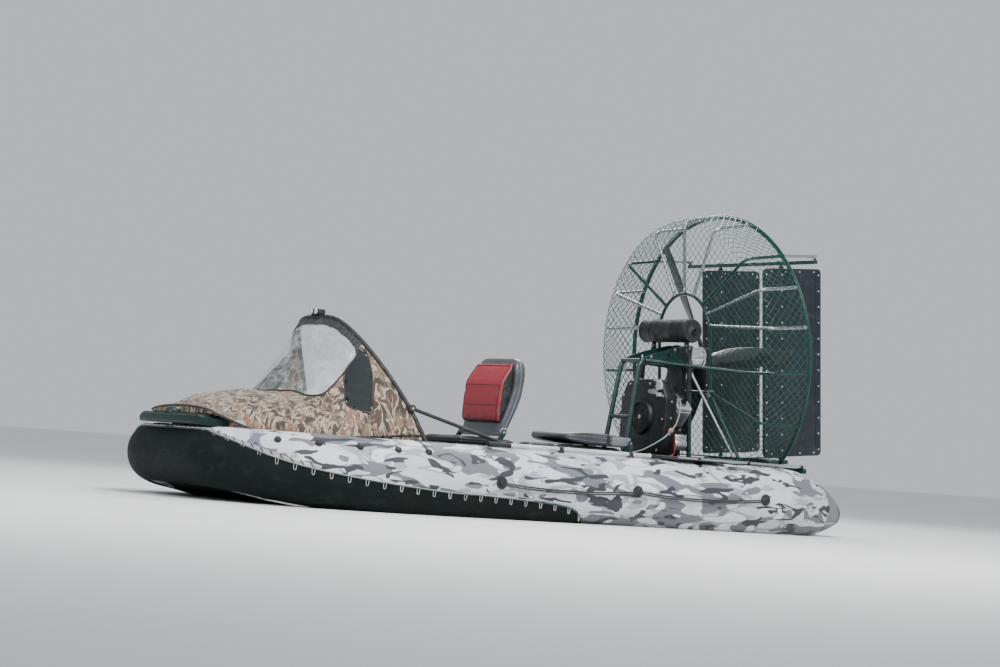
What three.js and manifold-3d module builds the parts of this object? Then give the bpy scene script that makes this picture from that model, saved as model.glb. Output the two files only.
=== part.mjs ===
import * as THREE from 'three';
import { mergeVertices } from 'three/addons/utils/BufferGeometryUtils.js';
import Module from 'manifold-3d';

// An inflatable airboat in millimetres: +X is the bow, +Y port, +Z up, and Z = 0 is the floor it stands on.
// The propeller, its cage and the rudders share one axis, which leans nose down against the hull.

const wasm = await Module();
wasm.setup();

// Driving dimensions
const GAP = 0.3;
const degrees = Math.PI / 180;

const tube = { radius: 220, bowRadius: 160, y: 750, bottom: 6.3, bendX: 950, bowX: 2058, bowHalf: 270 };
tube.top = tube.bottom + 2 * tube.radius;

const cover = { gap: 7, thickness: 5, aftX: 20, bowHemZ: 424 };
const deck = { bottom: 6.3, top: 100, aftX: -1680, bendX: 900, bendHalf: 545, foreX: 1340, foreHalf: 430 };
const frame = { bottom: 420, top: 450, half: 650.9, railY: 628, railRadius: 9 };
const thrust = { x: -1599, z: 1116, lean: 5 * degrees };
const cage = { radius: 876, frontRadius: 845, depth: 270, hoopRadius: 255, hoopZ: 140, hoopFootZ: -215, rod: 10 };
const propeller = { radius: 820, x: 105, hubRadius: 55 };
const rudder = { y: 300, pivotX: -262, chord: 465, foreChord: 145, top: 555, bottom: -625, thickness: 22 };
const engine = { aft: -1252, fore: -1125 };
const hoop = { footZ: 440, radius: 13, braceZ: 575, braceRadius: 11 };

const finishes = {
  camouflage: new THREE.MeshStandardMaterial({ color: 0xc3c4ca, roughness: 0.55 }),
  black: new THREE.MeshStandardMaterial({ color: 0x14171a, roughness: 0.6 }),
  green: new THREE.MeshStandardMaterial({ color: 0x0f3a36, roughness: 0.4, metalness: 0.3 }),
  aluminium: new THREE.MeshStandardMaterial({ color: 0xb9bcc0, roughness: 0.35, metalness: 0.9 }),
  steel: new THREE.MeshStandardMaterial({ color: 0x8b8f93, roughness: 0.4, metalness: 0.9 }),
  tent: new THREE.MeshStandardMaterial({ color: 0x8f8272, roughness: 0.85 }),
  film: new THREE.MeshStandardMaterial({ color: 0xcfd3d0, roughness: 0.15, transparent: true, opacity: 0.5 }),
  slate: new THREE.MeshStandardMaterial({ color: 0x2b333b, roughness: 0.5 }),
  red: new THREE.MeshStandardMaterial({ color: 0x9c2f36, roughness: 0.6 }),
  grey: new THREE.MeshStandardMaterial({ color: 0x6f757c, roughness: 0.55 }),
};

const airboat = new THREE.Group();
const thrustGroup = new THREE.Group();
thrustGroup.position.set(thrust.x, 0, thrust.z);
thrustGroup.rotation.y = thrust.lean;
airboat.add(thrustGroup);

// From the thrust axis's own places to the hull's, and back
const thrustPlace = new THREE.Matrix4().makeRotationY(thrust.lean).setPosition(thrust.x, 0, thrust.z);
const toHull = (geometry) => geometry.applyMatrix4(thrustPlace);
const toThrust = (geometry) => geometry.applyMatrix4(thrustPlace.clone().invert());

function addNode(name, shape, finish, parent = airboat) {
  const geometry = shape.isBufferGeometry ? shape : toGeometry(shape);
  const mesh = new THREE.Mesh(geometry, finishes[finish]);
  mesh.name = name;
  parent.add(mesh);
  return mesh;
}

// Joining and cutting
function toSolid(geometry) {
  const plain = geometry.clone();
  plain.deleteAttribute('normal');
  plain.deleteAttribute('uv');
  const merged = mergeVertices(plain, 1e-3);
  return new wasm.Manifold(new wasm.Mesh({
    numProp: 3,
    vertProperties: new Float32Array(merged.attributes.position.array),
    triVerts: new Uint32Array(merged.index.array),
  }));
}

function toGeometry(solid) {
  const mesh = solid.getMesh();
  const geometry = new THREE.BufferGeometry();
  geometry.setAttribute('position', new THREE.BufferAttribute(new Float32Array(mesh.vertProperties), 3));
  geometry.setIndex(new THREE.BufferAttribute(new Uint32Array(mesh.triVerts), 1));
  return geometry;
}

const join = (...geometries) => geometries
  .map((piece) => (piece.isBufferGeometry ? toSolid(piece) : piece))
  .reduce((sum, piece) => sum.add(piece));

const cut = (body, ...tools) => tools
  .map((piece) => (piece.isBufferGeometry ? toSolid(piece) : piece))
  .reduce((rest, piece) => rest.subtract(piece), body.isBufferGeometry ? toSolid(body) : body);

// Plain forms
const at = (x, y, z) => new THREE.Vector3(x, y, z);

function box(x0, x1, y0, y1, z0, z1) {
  return new THREE.BoxGeometry(x1 - x0, y1 - y0, z1 - z0)
    .translate((x0 + x1) / 2, (y0 + y1) / 2, (z0 + z1) / 2);
}

function rod(from, to, radius, sides = 8) {
  const along = to.clone().sub(from);
  const turn = new THREE.Quaternion().setFromUnitVectors(at(0, 1, 0), along.clone().normalize());
  return new THREE.CylinderGeometry(radius, radius, along.length(), sides)
    .applyQuaternion(turn)
    .translate(...from.clone().add(to).multiplyScalar(0.5).toArray());
}

function discAlongX(x0, x1, radius, sides = 24) {
  return rod(at(x0, 0, 0), at(x1, 0, 0), radius, sides);
}

// A tube through points, its corners rounded over the bend length
function bentRod(points, radius, bend, steps, sides = 6) {
  const path = new THREE.CurvePath();
  let start = points[0];
  for (let i = 1; i < points.length - 1; i += 1) {
    const before = points[i].clone().add(points[i - 1].clone().sub(points[i]).setLength(bend));
    const after = points[i].clone().add(points[i + 1].clone().sub(points[i]).setLength(bend));
    path.add(new THREE.LineCurve3(start, before));
    path.add(new THREE.QuadraticBezierCurve3(before, points[i], after));
    start = after;
  }
  path.add(new THREE.LineCurve3(start, points[points.length - 1]));
  return sweptCircle(path, radius, steps, sides);
}

function sweptCircle(path, radius, steps, sides) {
  const section = new THREE.Shape().absarc(0, 0, radius, 0, 2 * Math.PI);
  // An arc takes twice the curve segments, so half of them gives the sides
  return new THREE.ExtrudeGeometry(section, {
    extrudePath: path, steps, curveSegments: sides / 2, bevelEnabled: false,
  });
}

// A flat plate from a side outline of [x, z] pairs, between two y planes
function sidePlate(outline, y0, y1, holes = []) {
  const shape = new THREE.Shape(outline.map(([x, z]) => new THREE.Vector2(x, z)));
  for (const [x, z, radius] of holes) {
    shape.holes.push(new THREE.Path().absarc(x, z, radius, 0, 2 * Math.PI));
  }
  return new THREE.ExtrudeGeometry(shape, { depth: y1 - y0, bevelEnabled: false, curveSegments: 12 })
    .rotateX(Math.PI / 2)
    .translate(0, y1, 0);
}

// A level plate from a plan outline of [x, y] pairs, between two heights
function planPlate(outline, z0, z1) {
  const shape = new THREE.Shape(outline.map(([x, y]) => new THREE.Vector2(x, y)));
  return new THREE.ExtrudeGeometry(shape, { depth: z1 - z0, bevelEnabled: false }).translate(0, 0, z0);
}

// A solid along X from a cross outline of [y, z] pairs
function prismAlongX(outline, x0, x1) {
  const shape = new THREE.Shape(outline.map(([y, z]) => new THREE.Vector2(y, z)));
  return new THREE.ExtrudeGeometry(shape, { depth: x1 - x0, bevelEnabled: false })
    .rotateX(Math.PI / 2).rotateZ(Math.PI / 2).translate(x0, 0, 0);
}

// A half outline and its mirror image on the other side of the first axis, and the same across the second
const mirroredY = (half) => [...half, ...half.map(([y, z]) => [-y, z]).reverse()];
const bothSides = (half) => [...half, ...half.map(([x, y]) => [x, -y]).reverse()];

// A closed skin over a list of sections, each a loop with the same number of points
function loft(sections) {
  const count = sections[0].length;
  const positions = sections.flat().flatMap((point) => point.toArray());
  const index = [];
  for (let s = 0; s < sections.length - 1; s += 1) {
    for (let i = 0; i < count; i += 1) {
      const a = s * count + i;
      const b = s * count + ((i + 1) % count);
      index.push(a, b, a + count, b, b + count, a + count);
    }
  }
  const faces = THREE.ShapeUtils.triangulateShape(flatten(sections[0]), []);
  const last = (sections.length - 1) * count;
  for (const [a, b, c] of faces) {
    index.push(c, b, a, last + a, last + b, last + c);
  }
  const geometry = new THREE.BufferGeometry();
  geometry.setAttribute('position', new THREE.Float32BufferAttribute(positions, 3));
  geometry.setIndex(index);
  return facingOut(geometry);
}

// A loop in space laid into its own plane, for closing a loft's ends
function flatten(loop) {
  const normal = new THREE.Vector3();
  loop.forEach((point, i) => normal.add(point.clone().cross(loop[(i + 1) % loop.length])));
  const turn = new THREE.Quaternion().setFromUnitVectors(normal.normalize(), at(0, 0, 1));
  return loop.map((point) => point.clone().applyQuaternion(turn)).map(({ x, y }) => new THREE.Vector2(x, y));
}

function facingOut(geometry) {
  const { array } = geometry.attributes.position;
  const corners = geometry.index.array;
  let volume = 0;
  for (let i = 0; i < corners.length; i += 3) {
    const [a, b, c] = [0, 1, 2].map((k) => new THREE.Vector3().fromArray(array, corners[i + k] * 3));
    volume += a.dot(b.cross(c));
  }
  if (volume < 0) {
    geometry.setIndex(Array.from(corners).reverse());
  }
  return geometry;
}

const mirrored = (geometry) => facingOut(toGeometry(toSolid(geometry).mirror([0, 1, 0])));

// Hull: the port tube's centre line, from the stern cone along the side and round to the bow
const bowBend = new THREE.CubicBezierCurve(
  new THREE.Vector2(tube.bendX, tube.y),
  new THREE.Vector2(1560, tube.y),
  new THREE.Vector2(tube.bowX, 610),
  new THREE.Vector2(tube.bowX, tube.bowHalf),
);

// Stern cone sections, as x, radius and centre height
const sternCone = [
  [-1995, 42, 182],
  [-1960, 78, 190],
  [-1880, 124, 203],
  [-1780, 166, 214],
  [-1660, 202, 224],
  [-1530, tube.radius, tube.bottom + tube.radius],
];

const bendRadius = (share) => THREE.MathUtils.lerp(
  tube.radius, tube.bowRadius, THREE.MathUtils.smoothstep(share, 0, 1),
);

// Stations along the port side: centre, outward direction and radius
function sideStations(bendSteps) {
  const stations = sternCone.map(([x, radius, z]) => ({ centre: at(x, tube.y, z), out: at(0, 1, 0), radius }));
  for (let i = 0; i <= bendSteps; i += 1) {
    const share = i / bendSteps;
    const place = bowBend.getPoint(share);
    const way = bowBend.getTangent(share);
    const radius = bendRadius(share);
    stations.push({
      centre: at(place.x, place.y, tube.top - radius),
      out: at(-way.y, way.x, 0).normalize(),
      radius,
    });
  }
  return stations;
}

function ringAround({ centre, out, radius }, sides) {
  const loop = [];
  for (let i = 0; i < sides; i += 1) {
    const angle = 2 * Math.PI * i / sides;
    loop.push(centre.clone().addScaledVector(out, radius * Math.cos(angle)).add(at(0, 0, radius * Math.sin(angle))));
  }
  return loop;
}

const portTube = loft(sideStations(9).map((station) => ringAround(station, 20)));
addNode('port_tube', portTube, 'camouflage');
addNode('starboard_tube', mirrored(portTube), 'camouflage');

const bowStation = (y) => ({ centre: at(tube.bowX, y, tube.top - tube.bowRadius), out: at(1, 0, 0), radius: tube.bowRadius });
addNode('bow_tube', loft([tube.bowHalf - GAP, -tube.bowHalf + GAP].map((y) => ringAround(bowStation(y), 20))), 'camouflage');

// Black cover: a laced skin round the outside of the tubes, whose hem falls from the bow to the side
const hemLine = [
  [20, 60], [170, 139], [660, 172], [1000, 182], [1480, 224], [1850, 285], [2120, 385], [2200, cover.bowHemZ],
];

function hemHeight(x) {
  const next = Math.max(1, hemLine.findIndex(([hemX]) => hemX >= x));
  const [[x0, z0], [x1, z1]] = [hemLine[next - 1], hemLine[next]];
  return THREE.MathUtils.lerp(z0, z1, THREE.MathUtils.clamp((x - x0) / (x1 - x0), 0, 1));
}

function coverSection({ centre, out, radius }, hemZ) {
  const outer = radius + cover.gap + cover.thickness;
  const inner = radius + cover.gap;
  const low = -75 * degrees;
  const high = Math.asin(THREE.MathUtils.clamp((hemZ - centre.z) / outer, -0.95, 0.95));
  const steps = 8;
  const clearOfFacets = 1 / Math.cos((high - low) / steps / 2);
  const point = (reach, angle) => centre.clone()
    .addScaledVector(out, reach * Math.cos(angle))
    .add(at(0, 0, reach * Math.sin(angle)));
  const angles = Array.from({ length: steps + 1 }, (_, i) => THREE.MathUtils.lerp(low, high, i / steps));
  return [
    ...angles.map((angle) => point(inner * clearOfFacets, angle)),
    ...angles.reverse().map((angle) => point(outer * clearOfFacets, angle)),
  ];
}

const coverStations = [
  ...[cover.aftX, 170, 420, 700].map((x) => ({
    centre: at(x, tube.y, tube.bottom + tube.radius), out: at(0, 1, 0), radius: tube.radius,
  })),
  ...sideStations(9).slice(sternCone.length),
];
const portCover = coverStations.map((station) => {
  const reach = station.centre.x + station.out.x * station.radius;
  return coverSection(station, hemHeight(Math.min(reach, 2200)));
});
const starboardCover = portCover.map((section) => section.map(({ x, y, z }) => at(x, -y, z))).reverse();
addNode('bow_cover', loft([...portCover, ...starboardCover]), 'black');

// Bottom skin: flat under the boat, then rising to the bow tube
const bottomSide = sidePlate([
  [-1700, 0], [1150, 0], [1560, 26], [1820, 66], [2040, 120],
  [2040, 126], [1820, 72], [1560, 32], [1150, 6], [-1700, 6],
], -760, 760);
const bottomPlan = planPlate(bothSides([[-1700, 752], [950, 752], [1300, 725], [1620, 620], [1850, 480], [2035, 260]]), -5, 200);
addNode('bottom_skin', toSolid(bottomSide).intersect(toSolid(bottomPlan)), 'black');

const deckPlan = planPlate(bothSides([
  [deck.aftX, deck.bendHalf], [deck.bendX, deck.bendHalf], [deck.foreX, deck.foreHalf],
]), 0, deck.top);
const deckSide = sidePlate([
  [deck.aftX, deck.bottom], [1150, deck.bottom], [deck.foreX, deck.bottom + 12.2], [deck.foreX, 200], [deck.aftX, 200],
], -600, 600);
addNode('floor_deck', toSolid(deckPlan).intersect(toSolid(deckSide)), 'slate');
addNode('transom', box(-1715, -1690, -545, 545, 6 + GAP, 300), 'slate');

// Bow band: a stiff green edge on the bow tube, with a small dome lamp
const band = { x0: 1999, x1: 2205, half: 370, z0: tube.top + GAP, z1: 508 };
addNode('bow_band', box(band.x0, band.x1, -band.half, band.half, band.z0, band.z1), 'green');
const domeProfile = Array.from({ length: 7 }, (_, i) => {
  const angle = Math.PI / 2 * i / 6;
  return new THREE.Vector2(48 * Math.cos(angle), 34 * Math.sin(angle));
});
addNode('bow_lamp', new THREE.LatheGeometry([new THREE.Vector2(0, 0), ...domeProfile.slice(0, 6), new THREE.Vector2(0, 34)], 20)
  .rotateX(Math.PI / 2).translate(2155, 0, band.z1 + GAP), 'black');

// Frame that carries the seats and the engine, lying on the tubes' inner shoulders
const beam = (x) => box(x - 15, x + 15, -frame.half, frame.half, frame.bottom, frame.top);
const beams = [-1390, -1010, -640, -60, 210].map(beam);
const engineRails = [-110, 110].map((y) => box(-1390, -640, y - 15, y + 15, frame.bottom, frame.top));
const seatRails = [-180, 180].map((y) => box(-640, 210, y - 15, y + 15, frame.bottom, frame.top));
// Seat back pivots, and the ears on the frame that hold their pins
const pin = { radius: 7, reach: 240 };
const backPivot = { x: 138, z: 531 };
const rearPivot = { x: -786, z: 524 };
const ear = (rootX, pivot) => [-1, 1].map((side) => sidePlate([
  [rootX - 22, frame.bottom + 4], [rootX + 22, frame.bottom + 4], [pivot.x + 17, pivot.z - 6],
  [pivot.x + 10, pivot.z + 15], [pivot.x - 10, pivot.z + 15], [pivot.x - 17, pivot.z - 6],
], ...(side > 0 ? [227, 236] : [-236, -227]), [[pivot.x, pivot.z, pin.radius + GAP]]));
const ears = [...ear(210, backPivot), ...ear(-785, rearPivot)];
const hingeRail = box(-806, -764, -240, 240, frame.bottom + 2, frame.top);
addNode('base_frame', join(...beams, ...engineRails, ...seatRails, hingeRail, ...ears), 'green');

for (const [side, y] of [['port', frame.railY], ['starboard', -frame.railY]]) {
  const z = frame.top + GAP + frame.railRadius;
  addNode(`${side}_rail`, rod(at(-1835, y, z), at(240, y, z), frame.railRadius, 12), 'aluminium');
}

// Engine frame: two narrow side frames, tied across, with the shaft carrier on top
const mast = { y: 92, foreX: -918, foreFootX: -835, aftX: -1300, aftFootX: -1332, top: 1040, radius: 15 };
const mastPieces = [];
for (const side of [-1, 1]) {
  const y = mast.y * side;
  mastPieces.push(bentRod([
    at(mast.foreFootX, y * 1.2, frame.top + 5),
    at(mast.foreX, y, mast.top + 5),
    at(mast.aftX, y, mast.top - 8),
    at(mast.aftFootX, y * 1.2, frame.top + 5),
  ], mast.radius, 30, 30, 8));
}
// Cross ties, as x, z and half length
for (const [x, z, half] of [[mast.foreX, mast.top, mast.y], [-866, 690, 104], [-1328, 520, 106]]) {
  mastPieces.push(rod(at(x, -half, z), at(x, half, z), 12, 8));
}
mastPieces.push(box(-860, -810, -130, 130, frame.top + GAP, frame.top + 8));
mastPieces.push(box(-1354, -1310, -130, 130, frame.top + GAP, frame.top + 8));
addNode('engine_frame', join(...mastPieces), 'green');

const gussetOutline = [[-938, 1059.5], [-1090, 1112], [-1268, 1160], [-1314, 1160], [-1314, 1047.1]];
const gussetHoles = [[-1070, 1078, 10], [-1140, 1086, 14], [-1225, 1100, 20]];
const carrier = join(
  sidePlate(gussetOutline, 88, 95, gussetHoles),
  sidePlate(gussetOutline, -95, -88, gussetHoles),
  box(-1314, -1306, -92, 92, 1052, 1160),
);
addNode('shaft_carrier', cut(carrier, toHull(discAlongX(100, 400, 64.8, 28))), 'green');

// Bearing housing: a sleeve round the shaft, with a flange at each end
const housing = [
  [20.5, 142], [64, 142], [64, 158], [56, 162], [56, 250], [64, 254], [64, 286], [20.5, 286], [20.5, 142],
].map(([radius, x]) => new THREE.Vector2(radius, x));
addNode('bearing_housing', new THREE.LatheGeometry(housing, 28).rotateZ(-Math.PI / 2), 'aluminium', thrustGroup);

// Belt case between the crankshaft and the propeller shaft
const beltCase = join(
  box(-1304, engine.aft - GAP, -62, 62, 620, 1090),
  rod(at(-1304, 0, 620), at(engine.aft - GAP, 0, 620), 62, 28),
  rod(at(-1304, 0, 1090), at(engine.aft - GAP, 0, 1090), 72, 28),
);
addNode('belt_case', cut(beltCase, toHull(discAlongX(200, 420, 27, 24))), 'slate');

// Engine: crankcase, front cooling shroud, two finned cylinders in a V
const crankOutline = [[125, frame.top + GAP], [125, 640], [40, 725]];
addNode('crankcase', join(
  prismAlongX(mirroredY(crankOutline), engine.aft, engine.fore),
  rod(at(-1190, -120, 560), at(-1190, -205, 560), 38, 20),
), 'black');

const shroudOutline = new THREE.Shape();
shroudOutline.moveTo(-200, 470);
shroudOutline.lineTo(200, 470);
shroudOutline.lineTo(228, 560);
shroudOutline.lineTo(228, 820);
shroudOutline.lineTo(170, 925);
shroudOutline.lineTo(-170, 925);
shroudOutline.lineTo(-228, 820);
shroudOutline.lineTo(-228, 560);
const shroud = new THREE.ExtrudeGeometry(shroudOutline, {
  depth: 70, bevelEnabled: true, bevelThickness: 12, bevelSize: 12, bevelOffset: -12, bevelSegments: 2,
}).rotateX(Math.PI / 2).rotateZ(Math.PI / 2).translate(engine.fore + 12 + GAP, 0, 0);
addNode('cooling_shroud', join(shroud, rod(at(-1040, 0, 700), at(-1008, 0, 700), 105, 28)), 'black');

// One finned cylinder standing on the crankcase's slanted face
function cylinderBank(side) {
  const pieces = [box(engine.aft + 22, engine.fore - 16, -44, 44, 0, 124)];
  for (let i = 0; i < 6; i += 1) {
    pieces.push(box(engine.aft + 8, engine.fore - 8, -58, 58, 14 + 18 * i, 21 + 18 * i));
  }
  pieces.push(box(engine.aft + 6, engine.fore - 6, -54, 54, 122, 160));
  const reach = 82.5 + GAP;
  return join(...pieces).rotate([-45 * side, 0, 0]).translate([0, reach * side, 600 + reach]);
}
addNode('port_cylinder', cylinderBank(1), 'steel');
addNode('starboard_cylinder', cylinderBank(-1), 'steel');

const carburettor = join(
  box(-1225, -1165, -20, 20, 725 + GAP, 762),
  box(-1250, -1140, -52, 52, 760, 862),
  rod(at(-1195, 0, 862), at(-1195, 0, 905), 46, 20),
);
addNode('carburettor', carburettor, 'aluminium');

const starter = join(
  rod(at(-1235, 178, 545), at(-1145, 178, 545), 34, 20),
  rod(at(-1235, 168, 590), at(-1160, 168, 590), 18, 14),
  box(-1225, -1165, 125 + GAP, 170, 530, 575),
);
addNode('starter_motor', starter, 'steel');

const muffler = { x: -1212, z: 1246, radius: 74, y0: -250, y1: 222 };
const mufflerBody = join(
  rod(at(muffler.x, muffler.y0, muffler.z), at(muffler.x, muffler.y1, muffler.z), muffler.radius, 28),
  rod(at(muffler.x, muffler.y1 - 2, muffler.z), at(muffler.x, muffler.y1 + 16, muffler.z), 16, 14),
);

// Exhaust pipes: from each cylinder head up to the muffler's underside
const exhaustPipes = [1, -1].map((sign) => bentRod([
  at(-1188, sign * 196.2, 796.2), at(-1188, sign * 240, 840), at(-1195, sign * 240, 1050),
  at(muffler.x, sign * 165, 1110), at(muffler.x, sign * 165, muffler.z - muffler.radius + 6),
], 15, 18, 18, 8));
addNode('muffler', join(mufflerBody, ...exhaustPipes), 'black');

// Propeller: hub, shaft and three twisted blades
const bladeTable = [
  // share of radius, chord, twist in degrees, thickness
  [0.05, 60, 48, 34],
  [0.2, 128, 38, 22],
  [0.45, 138, 26, 15],
  [0.75, 112, 17, 10],
  [1.0, 62, 12, 6],
];

function blade(turn) {
  const sections = bladeTable.map(([share, chord, twist, thickness]) => {
    const loop = [];
    for (let i = 0; i < 12; i += 1) {
      const angle = 2 * Math.PI * i / 12;
      const across = chord / 2 * Math.cos(angle);
      const deep = thickness / 2 * Math.sin(angle) * (1 + 0.25 * Math.cos(angle));
      const lean = twist * degrees;
      loop.push(at(
        propeller.x + across * Math.sin(lean) + deep * Math.cos(lean),
        across * Math.cos(lean) - deep * Math.sin(lean),
        propeller.radius * share,
      ));
    }
    return loop;
  });
  return loft(sections).rotateX(turn);
}
const propellerPieces = [
  discAlongX(propeller.x - 42, propeller.x + 34, propeller.hubRadius, 24),
  discAlongX(propeller.x - 70, propeller.x - 40, 30, 20),
  discAlongX(propeller.x, 345, 20, 20),
];
for (let i = 0; i < 3; i += 1) {
  propellerPieces.push(blade(30 * degrees + 2 * Math.PI * i / 3));
}
addNode('propeller', join(...propellerPieces), 'black', thrustGroup);

// Cage: rear ring, front hoop over the shaft, and rods from the hoop over the drum to the ring
const ringSteps = 60;
const circle = new THREE.Shape().absarc(0, 0, cage.rod, 0, 2 * Math.PI);
const ringProfile = circle.getPoints(4).slice(0, -1).map(({ x, y }) => new THREE.Vector2(cage.radius + x, y));
const ring = new THREE.LatheGeometry([...ringProfile, ringProfile[0]], ringSteps).rotateZ(-Math.PI / 2);

function hoopPath() {
  const path = new THREE.CurvePath();
  const foot = (y) => at(cage.depth, y, cage.hoopFootZ);
  const spring = (y) => at(cage.depth, y, cage.hoopZ);
  path.add(new THREE.LineCurve3(foot(-cage.hoopRadius), spring(-cage.hoopRadius)));
  const arcSteps = 12;
  let last = spring(-cage.hoopRadius);
  for (let i = 1; i <= arcSteps; i += 1) {
    const angle = Math.PI * (1 - i / arcSteps);
    const next = at(
      cage.depth, cage.hoopRadius * Math.cos(angle), cage.hoopZ + cage.hoopRadius * Math.sin(angle),
    );
    path.add(new THREE.LineCurve3(last, next));
    last = next;
  }
  path.add(new THREE.LineCurve3(last, foot(cage.hoopRadius)));
  return path;
}
const frontHoop = sweptCircle(hoopPath(), cage.rod, 40, 6);
const hoopFoot = rod(at(cage.depth, -cage.hoopRadius - 6, cage.hoopFootZ), at(cage.depth, cage.hoopRadius + 6, cage.hoopFootZ), cage.rod);

// Cage rods, by angle from the top toward port; the rudder carrier runs on from the pair at carrierAngle
const cageRods = [0, 21, -21, 45, -45, 61, -61, 78, -78, 118, -118];
const carrierAngle = 45;
const rudderReach = 278;

// The drum narrows from the ring to its front
const drumRadius = (x) => THREE.MathUtils.lerp(
  cage.radius, cage.frontRadius, THREE.MathUtils.clamp(x / cage.depth, 0, 1),
);
const onDrum = (angle, x) => at(
  x, drumRadius(x) * Math.sin(angle * degrees), drumRadius(x) * Math.cos(angle * degrees),
);
const spokeRoot = (angle) => (Math.abs(angle) < 90
  ? at(
    cage.depth, cage.hoopRadius * Math.sin(angle * degrees),
    cage.hoopZ + cage.hoopRadius * Math.cos(angle * degrees),
  )
  : at(cage.depth, Math.sign(angle) * cage.hoopRadius, cage.hoopFootZ));
const behindFront = cage.depth - cage.rod - GAP;
const spokes = cageRods.map((angle) => rod(spokeRoot(angle), onDrum(angle, cage.depth), cage.rod, 6));
const sideRods = cageRods.map((angle) => rod(onDrum(angle, behindFront), onDrum(angle, 0), cage.rod, 6));

// Feet: from the drum's lower edge and the ring down to the base frame
const lowZ = (frame.top + 6 + cage.rod - thrust.z + cage.depth * Math.sin(thrust.lean)) / Math.cos(thrust.lean);
const footY = 545;
const frontFeet = [-1, 1].map((side) => rod(
  at(cage.depth, side * cage.hoopRadius, cage.hoopFootZ), at(cage.depth, side * footY, lowZ), cage.rod, 6,
));
for (const y of [-400, -260, 260, 400]) {
  frontFeet.push(toThrust(box(-1402, -1376, y - 16, y + 16, frame.top + GAP, frame.top + 18)));
}
const ringFootZ = -Math.sqrt(cage.radius ** 2 - footY ** 2);
const ringFeet = [-1, 1].map((side) => rod(
  at(behindFront, side * footY, lowZ), at(0, side * footY, ringFootZ), cage.rod, 6,
));
for (const [y0, y1] of [[590, frame.railY - frame.railRadius - GAP], [-frame.railY + frame.railRadius + GAP, -590]]) {
  ringFeet.push(toThrust(box(-1672, -1644, y0, y1, 452, 476)));
}
// Rudder carrier: a bar across the cage's upper rods
const upper = cage.radius * Math.cos(carrierAngle * degrees);
const carrierArms = [-carrierAngle, carrierAngle].map((angle) => rod(
  onDrum(angle, -cage.rod - GAP), onDrum(angle, -rudderReach), cage.rod,
));
addNode('rudder_carrier', join(
  ...carrierArms,
  box(rudder.pivotX - 16, rudder.pivotX + 16, -upper - 8, upper + 8, rudder.top + 20, rudder.top + 44),
  ...[-1, 1].map((side) => rod(
    at(rudder.pivotX, side * upper, rudder.top + 30), at(rudder.pivotX, side * upper, upper), cage.rod - 2,
  )),
), 'green', thrustGroup);
const lowBar = rod(at(cage.depth, -560, lowZ), at(cage.depth, 560, lowZ), cage.rod, 6);

// Stays from the masts' upper corners to the cage's front, out to the drum and back to the ring
const stay = { startX: -950, y: 628, z: -92 };
const stayPath = (side) => {
  const start = at(stay.startX, side * (mast.y + 8), mast.top).applyMatrix4(thrustPlace.clone().invert());
  const outer = (x) => at(x, side * Math.sqrt(drumRadius(x) ** 2 - stay.z ** 2), stay.z);
  return [start, at(cage.depth, side * stay.y, stay.z), outer(cage.depth), outer(0)];
};
const mastTopLine = (side) => toThrust(rod(
  at(mast.foreX, side * mast.y, mast.top + 5), at(mast.aftX, side * mast.y, mast.top - 8), mast.radius + 2, 16,
));
const stays = [-1, 1].map((side) => cut(bentRod(stayPath(side), cage.rod, 40, 14, 6), mastTopLine(side)));
addNode('cage_front', join(frontHoop, hoopFoot, lowBar, ...frontFeet, ...spokes), 'green', thrustGroup);
addNode('cage_ring', join(ring, ...ringFeet, ...sideRods, ...stays), 'green', thrustGroup);

// Aluminium braces from the masts' aft legs down to the cage's low bar
const lowBarHull = at(cage.depth, 0, lowZ).applyMatrix4(thrustPlace);
const braceLine = (side) => [at(mast.aftX, side * (mast.y + 8), 1010), at(lowBarHull.x, side * 500, lowBarHull.z + 4)];
for (const [side, sign] of [['port', 1], ['starboard', -1]]) {
  const aftLeg = rod(
    at(mast.aftX, sign * mast.y, mast.top - 8), at(mast.aftFootX, sign * mast.y * 1.2, frame.top + 5), mast.radius + 1, 20,
  );
  const lowBarSeat = rod(at(lowBarHull.x, -560, lowBarHull.z), at(lowBarHull.x, 560, lowBarHull.z), cage.rod + GAP, 16);
  addNode(`${side}_mast_brace`, cut(rod(...braceLine(sign), 9, 10), aftLeg, lowBarSeat), 'aluminium');
}

// Net: diamond mesh in two layers of straight wires, in panels over the drum's front and round its side
const net = {
  radius: cage.radius + 29, frontRadius: cage.frontRadius + 29, x: cage.depth + 18, wire: 1.7, spacing: 92,
  layerGap: 7, footZ: -606, rearX: 0,
  faceRadius: cage.frontRadius + 18, rim: 4.7, panelY: 263, sideCount: 30, sidePitch: 8, sideAngle: 40,
};

function faceWire(offset, way, x) {
  const reach = Math.sqrt(net.faceRadius ** 2 - offset ** 2);
  const along = new THREE.Vector2(1, way).multiplyScalar(Math.SQRT1_2);
  const across = new THREE.Vector2(-way, 1).multiplyScalar(Math.SQRT1_2 * offset);
  const end = (distance) => at(x, across.x + along.x * distance, across.y + along.y * distance);
  return rod(end(-reach), end(reach), net.wire, 4);
}
const faceWires = [];
for (let offset = -9 * net.spacing; offset < net.faceRadius - 10; offset += net.spacing) {
  faceWires.push(faceWire(offset, 1, net.x + net.layerGap / 2), faceWire(offset, -1, net.x - net.layerGap / 2));
}
const alongAxis = (shape, x0, x1) => new THREE.ExtrudeGeometry(shape, {
  depth: x1 - x0, bevelEnabled: false, curveSegments: 16,
}).rotateX(Math.PI / 2).rotateZ(Math.PI / 2).translate(x0, 0, 0);
// A square bar bent into a circle, as its inner and outer radius and its two planes
const roundRim = (inner, outer, x0, x1, steps) => new THREE.LatheGeometry([
  [inner, x0], [outer, x0], [outer, x1], [inner, x1], [inner, x0],
].map(([radius, x]) => new THREE.Vector2(radius, x)), steps).rotateZ(-Math.PI / 2);

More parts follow.
